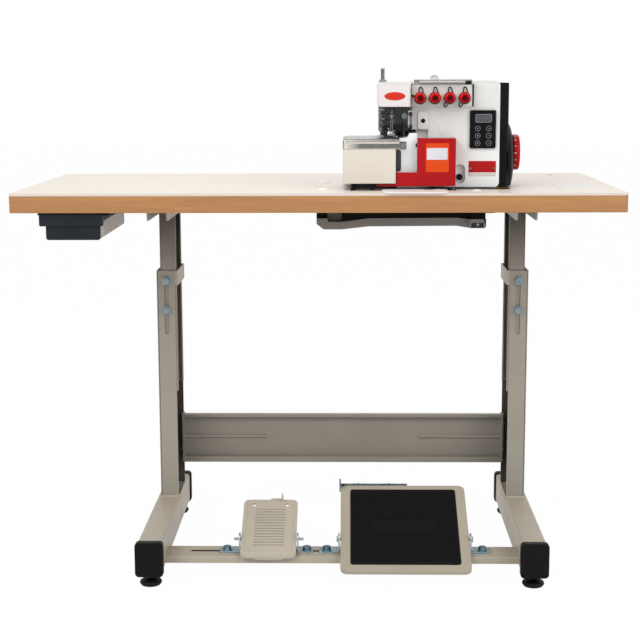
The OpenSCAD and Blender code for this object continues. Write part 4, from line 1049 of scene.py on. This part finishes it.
def addNeedleArea(setup):
    fixed = [plate(*setup["block"]), plate(*setup["blockFoot"])]
    finishPiece(joined(fixed), "arm_block", "steel", "table", "oiled_steel", angle=40)
    finishPiece(screwHead(*setup["blockScrew"]), "arm_screws", "dark_paint", "table", angle=40)
    addPlate("arm_disc", slot="cast_white", material="recess_grey", angle=45, **setup["disc"])
    # black plates where the disc's slots are open: painted shade
    half = setup["slotHalf"]
    slots = [plate((x - half, x + half), setup["slotZ"], setup["slotY"], setup["slotRadius"])
             for x in setup["slotX"]]
    finishPiece(joined(slots), "arm_slots", "rubber", "table")
    guide = [wire(setup["guideArc"], setup["guideWire"]), plate(*setup["guideLug"])]
    finishPiece(joined(guide), "needle_thread_guide", "steel", "needle_bar", "bright_steel", angle=50)
    holder = [plate(*part) for part in setup["edgeGuide"]]
    finishPiece(joined(holder), "edge_guide", "dark_paint", "presser_foot", angle=45)
    fittings = [wire(setup["footRing"], setup["footWire"]), plate(*setup["footToe"])]
    finishPiece(joined(fittings), "presser_foot_fittings", "steel", "presser_foot", angle=50)


addNeedleArea(needleArea)
print("head details made")


# pieces of the base, the table and the stand, most of them placed in millimetres from the floor
def fromFloor(x, y, z):
    return Vector((x, y, z)) - headOrigin


def slab(x, y, z, radius=0):
    bm = plate(x, (0, y[1] - y[0]), (0, z[1] - z[0]), radius)
    bmesh.ops.translate(bm, vec=-headOrigin * mm, verts=bm.verts)
    bmesh.ops.rotate(bm, cent=(0, 0, 0), matrix=Matrix.Rotation(math.radians(-90), 3, "X"), verts=bm.verts)
    lowest = Vector((0, min(vert.co.y for vert in bm.verts), min(vert.co.z for vert in bm.verts)))
    goal = headOrigin * mm + Vector((0, y[0], z[0])) * mm
    bmesh.ops.translate(bm, vec=goal - lowest, verts=bm.verts)
    return bm


def boxFromFloor(x, y, z):
    return zip(fromFloor(x[0], y[0], z[0]), fromFloor(x[1], y[1], z[1]))


# cloth plate: bright border and brushed band along its front, the border's light grey a painted highlight of
# the plate's rounded front edge; then the grey recess, grip and slot beside it
clothPlates = {
    "cloth_plate_border": {"slot": "steel", "body": "bed_cover", "material": "border_silver",
                           "x": (-135.4, -26), "z": (81.6, 95.2), "y": (-48.25, -47.7), "radius": 2.2},
    "cloth_plate_band": {"slot": "steel", "body": "bed_cover", "material": "band_steel",
                         "x": (-134.6, -26.2), "z": (82.6, 92), "y": (-48.5, -48), "radius": 1.2},
    # bed_recess: grey plate on the recess floor, darker than the casting: painted shade
    "bed_recess": {"slot": "cast_white", "material": "recess_grey", "x": (-24.4, -11.4), "z": (79.4, 94.6),
                   "y": (-21.7, -20.9), "radius": 2.5, "rounded": 0.3},
    "bed_grip": {"slot": "black_plastic", "material": "grip_grey", "x": (-32, -21.6), "z": (36, 79),
                 "y": (-27, -19.5), "radius": 5, "rounded": 2.4, "angle": 45},
    # bed_slot: black plate in the gap between casting and cover edge: painted shade
    "bed_slot": {"slot": "black_plastic", "x": (7, 9.9), "z": (84, 91.5), "y": (-25.3, -24.8), "radius": 0.8},
}
for name, values in clothPlates.items():
    addPlate(name, **values)

# base of the head: dark blocks, buffers and the round foot in the notch of the loose board
baseFittings = {
    "blockX": ((-121.5, -112), (-10, -4.5)),
    "block": ((-2, 3.4), (-43.9, -42), 0.8, 0.4),
    "bufferX": (-79, 74),
    "bufferAt": (-43, -0.2),
    "buffer": ((0, 2.2), (2.6, 2), (4, 1.2), (4.2, 0), (4.2, -1.5), (0, -1.5)),
    "bufferSteps": 28,
    "footAt": (221, -208.4, 790),
    "foot": ((0, 2.6), (9.9, 2.4), (11.4, 1.4), (11.4, 0.2), (0, 0.2)),
}


def addBaseFittings(setup):
    parts = [plate(x, *setup["block"]) for x in setup["blockX"]]
    for x in setup["bufferX"]:
        parts.append(spun(setup["buffer"], (x, *setup["bufferAt"]), steps=setup["bufferSteps"]))
    parts.append(spun(setup["foot"], fromFloor(*setup["footAt"]), (0, 0, 1)))
    finishPiece(joined(parts), "base_fittings", "rubber", "table", angle=45)


addBaseFittings(baseFittings)

# table: bare label, staples in its edge, and the small plates and screw at the end of the head's frame
tableFittings = {
    "label": ((485, 567), (-179, -39), (790, 790.4)),
    "labelRadius": 4,
    "staples": ((-588, -300, 783), (-588, -300, 775), (-588.5, -300, 765)),
    "staple": ((0, 0.7), (0.9, 0.5), (1.1, -0.4), (0, -0.4)),
    "stapleSteps": 16,
    "plates": (
        ("rail_tab", "grey_paint", (13, 52), (-197, -196), (725, 751), 1.5),
        ("rail_ear", "grey_paint", (299, 327.5), (-244, -242.9), (717.6, 735.2), 1),
        ("rail_inset", "dark_paint", (302, 326.5), (-244.3, -243.9), (718.9, 728.3), 0.6),
    ),
    "screwAt": (314.8, -244.3, 725),
    "screwSize": (3, 1.8),
}


def addTableFittings(setup):
    label = slab(*boxFromFloor(*setup["label"]), setup["labelRadius"])
    finishPiece(label, "table_label", "white_plastic", "table", "label_table")
    profile, steps = setup["staple"], setup["stapleSteps"]
    staples = [spun(profile, fromFloor(*place), steps=steps) for place in setup["staples"]]
    finishPiece(joined(staples), "edge_staples", "zinc", "table")
    for name, slot, *box, radius in setup["plates"]:
        x, y, z = boxFromFloor(*box)
        finishPiece(plate(x, z, y, radius), name, slot, "table")
    place = fromFloor(*setup["screwAt"])
    screw = screwHead(place.x, place.z, place.y, *setup["screwSize"])
    finishPiece(screw, "rail_screw", "zinc", "table", angle=40)


addTableFittings(tableFittings)

# weld beads where the columns stand on the base tubes
weld = {
    "x": 384,
    "half": 20,
    "y": (24.5, 148.5),
    "z": 91,
    "radius": 2.3,
    "step": 7,
    "lift": 0.4,
    "wander": 0.5,
    "ripples": (2.1, 1.7, 2.3),
    "acrossSteps": 6,
    "acrossOut": 0.5,
}


def addWelds(setup):
    beads = []
    front, back = setup["y"]
    half = setup["half"]
    sideways, upwards, across = setup["ripples"]
    count = int((back - front) / setup["step"])
    for side in (-1, 1):
        middle = standMiddle + side * setup["x"]
        for edge in (-1, 1):
            points = []
            for step in range(count + 1):
                x = middle + edge * half + setup["wander"] * math.sin(step * sideways + edge)
                z = setup["z"] + setup["lift"] * math.cos(step * upwards)
                points.append(fromFloor(x, front + (back - front) * step / count, z))
            beads.append(wire(points, setup["radius"]))
        points = []
        for step in range(setup["acrossSteps"] + 1):
            x = middle - half + 2 * half * step / setup["acrossSteps"]
            z = setup["z"] + setup["lift"] * math.cos(step * across)
            points.append(fromFloor(x, front - setup["acrossOut"], z))
        beads.append(wire(points, setup["radius"]))
    finishPiece(joined(beads), "column_welds", "pale_khaki_paint", "stand", "khaki_light", angle=60)


addWelds(weld)

# raised bead round the top of the small pedal
pedalBead = {
    "hinge": (-104, -214, 71),
    "tilt": 26,
    "half": 49,
    "y": (-44, 105),
    "z": 2.7,
    "corner": 9,
    "cornerSteps": 4,
    "radius": 1.6,
}


def addPedalBead(setup):
    low, high = setup["y"]
    corner = setup["corner"]
    half = setup["half"]
    turn = Matrix.Rotation(math.radians(setup["tilt"]), 3, "X")
    points = []
    for number, (x, y) in enumerate(((half, high), (-half, high), (-half, low), (half, low))):
        centre = Vector((x - math.copysign(corner, x), y - corner if y == high else y + corner, setup["z"]))
        for step in range(setup["cornerSteps"] + 1):
            angle = math.radians(90 * (number + step / setup["cornerSteps"]))
            rim = centre + Vector((math.cos(angle), math.sin(angle), 0)) * corner
            points.append(fromFloor(*(turn @ rim + Vector(setup["hinge"]))))
    bead = wire(points, setup["radius"], cyclic=True, sharp=True)
    finishPiece(bead, "lift_pedal_bead", "pale_khaki_paint", "lift_pedal", "khaki_light", angle=60)


addPedalBead(pedalBead)

# dark sheet below the slot of the treadle's bar, seen through it: painted shade
barSlot = {"x": (-269, 355), "y": (-220, -208), "z": (39, 40.5)}
finishPiece(slab(*boxFromFloor(**barSlot)), "bar_slot_shade_sheet", "black_plastic", "stand")
print("table and stand details made")
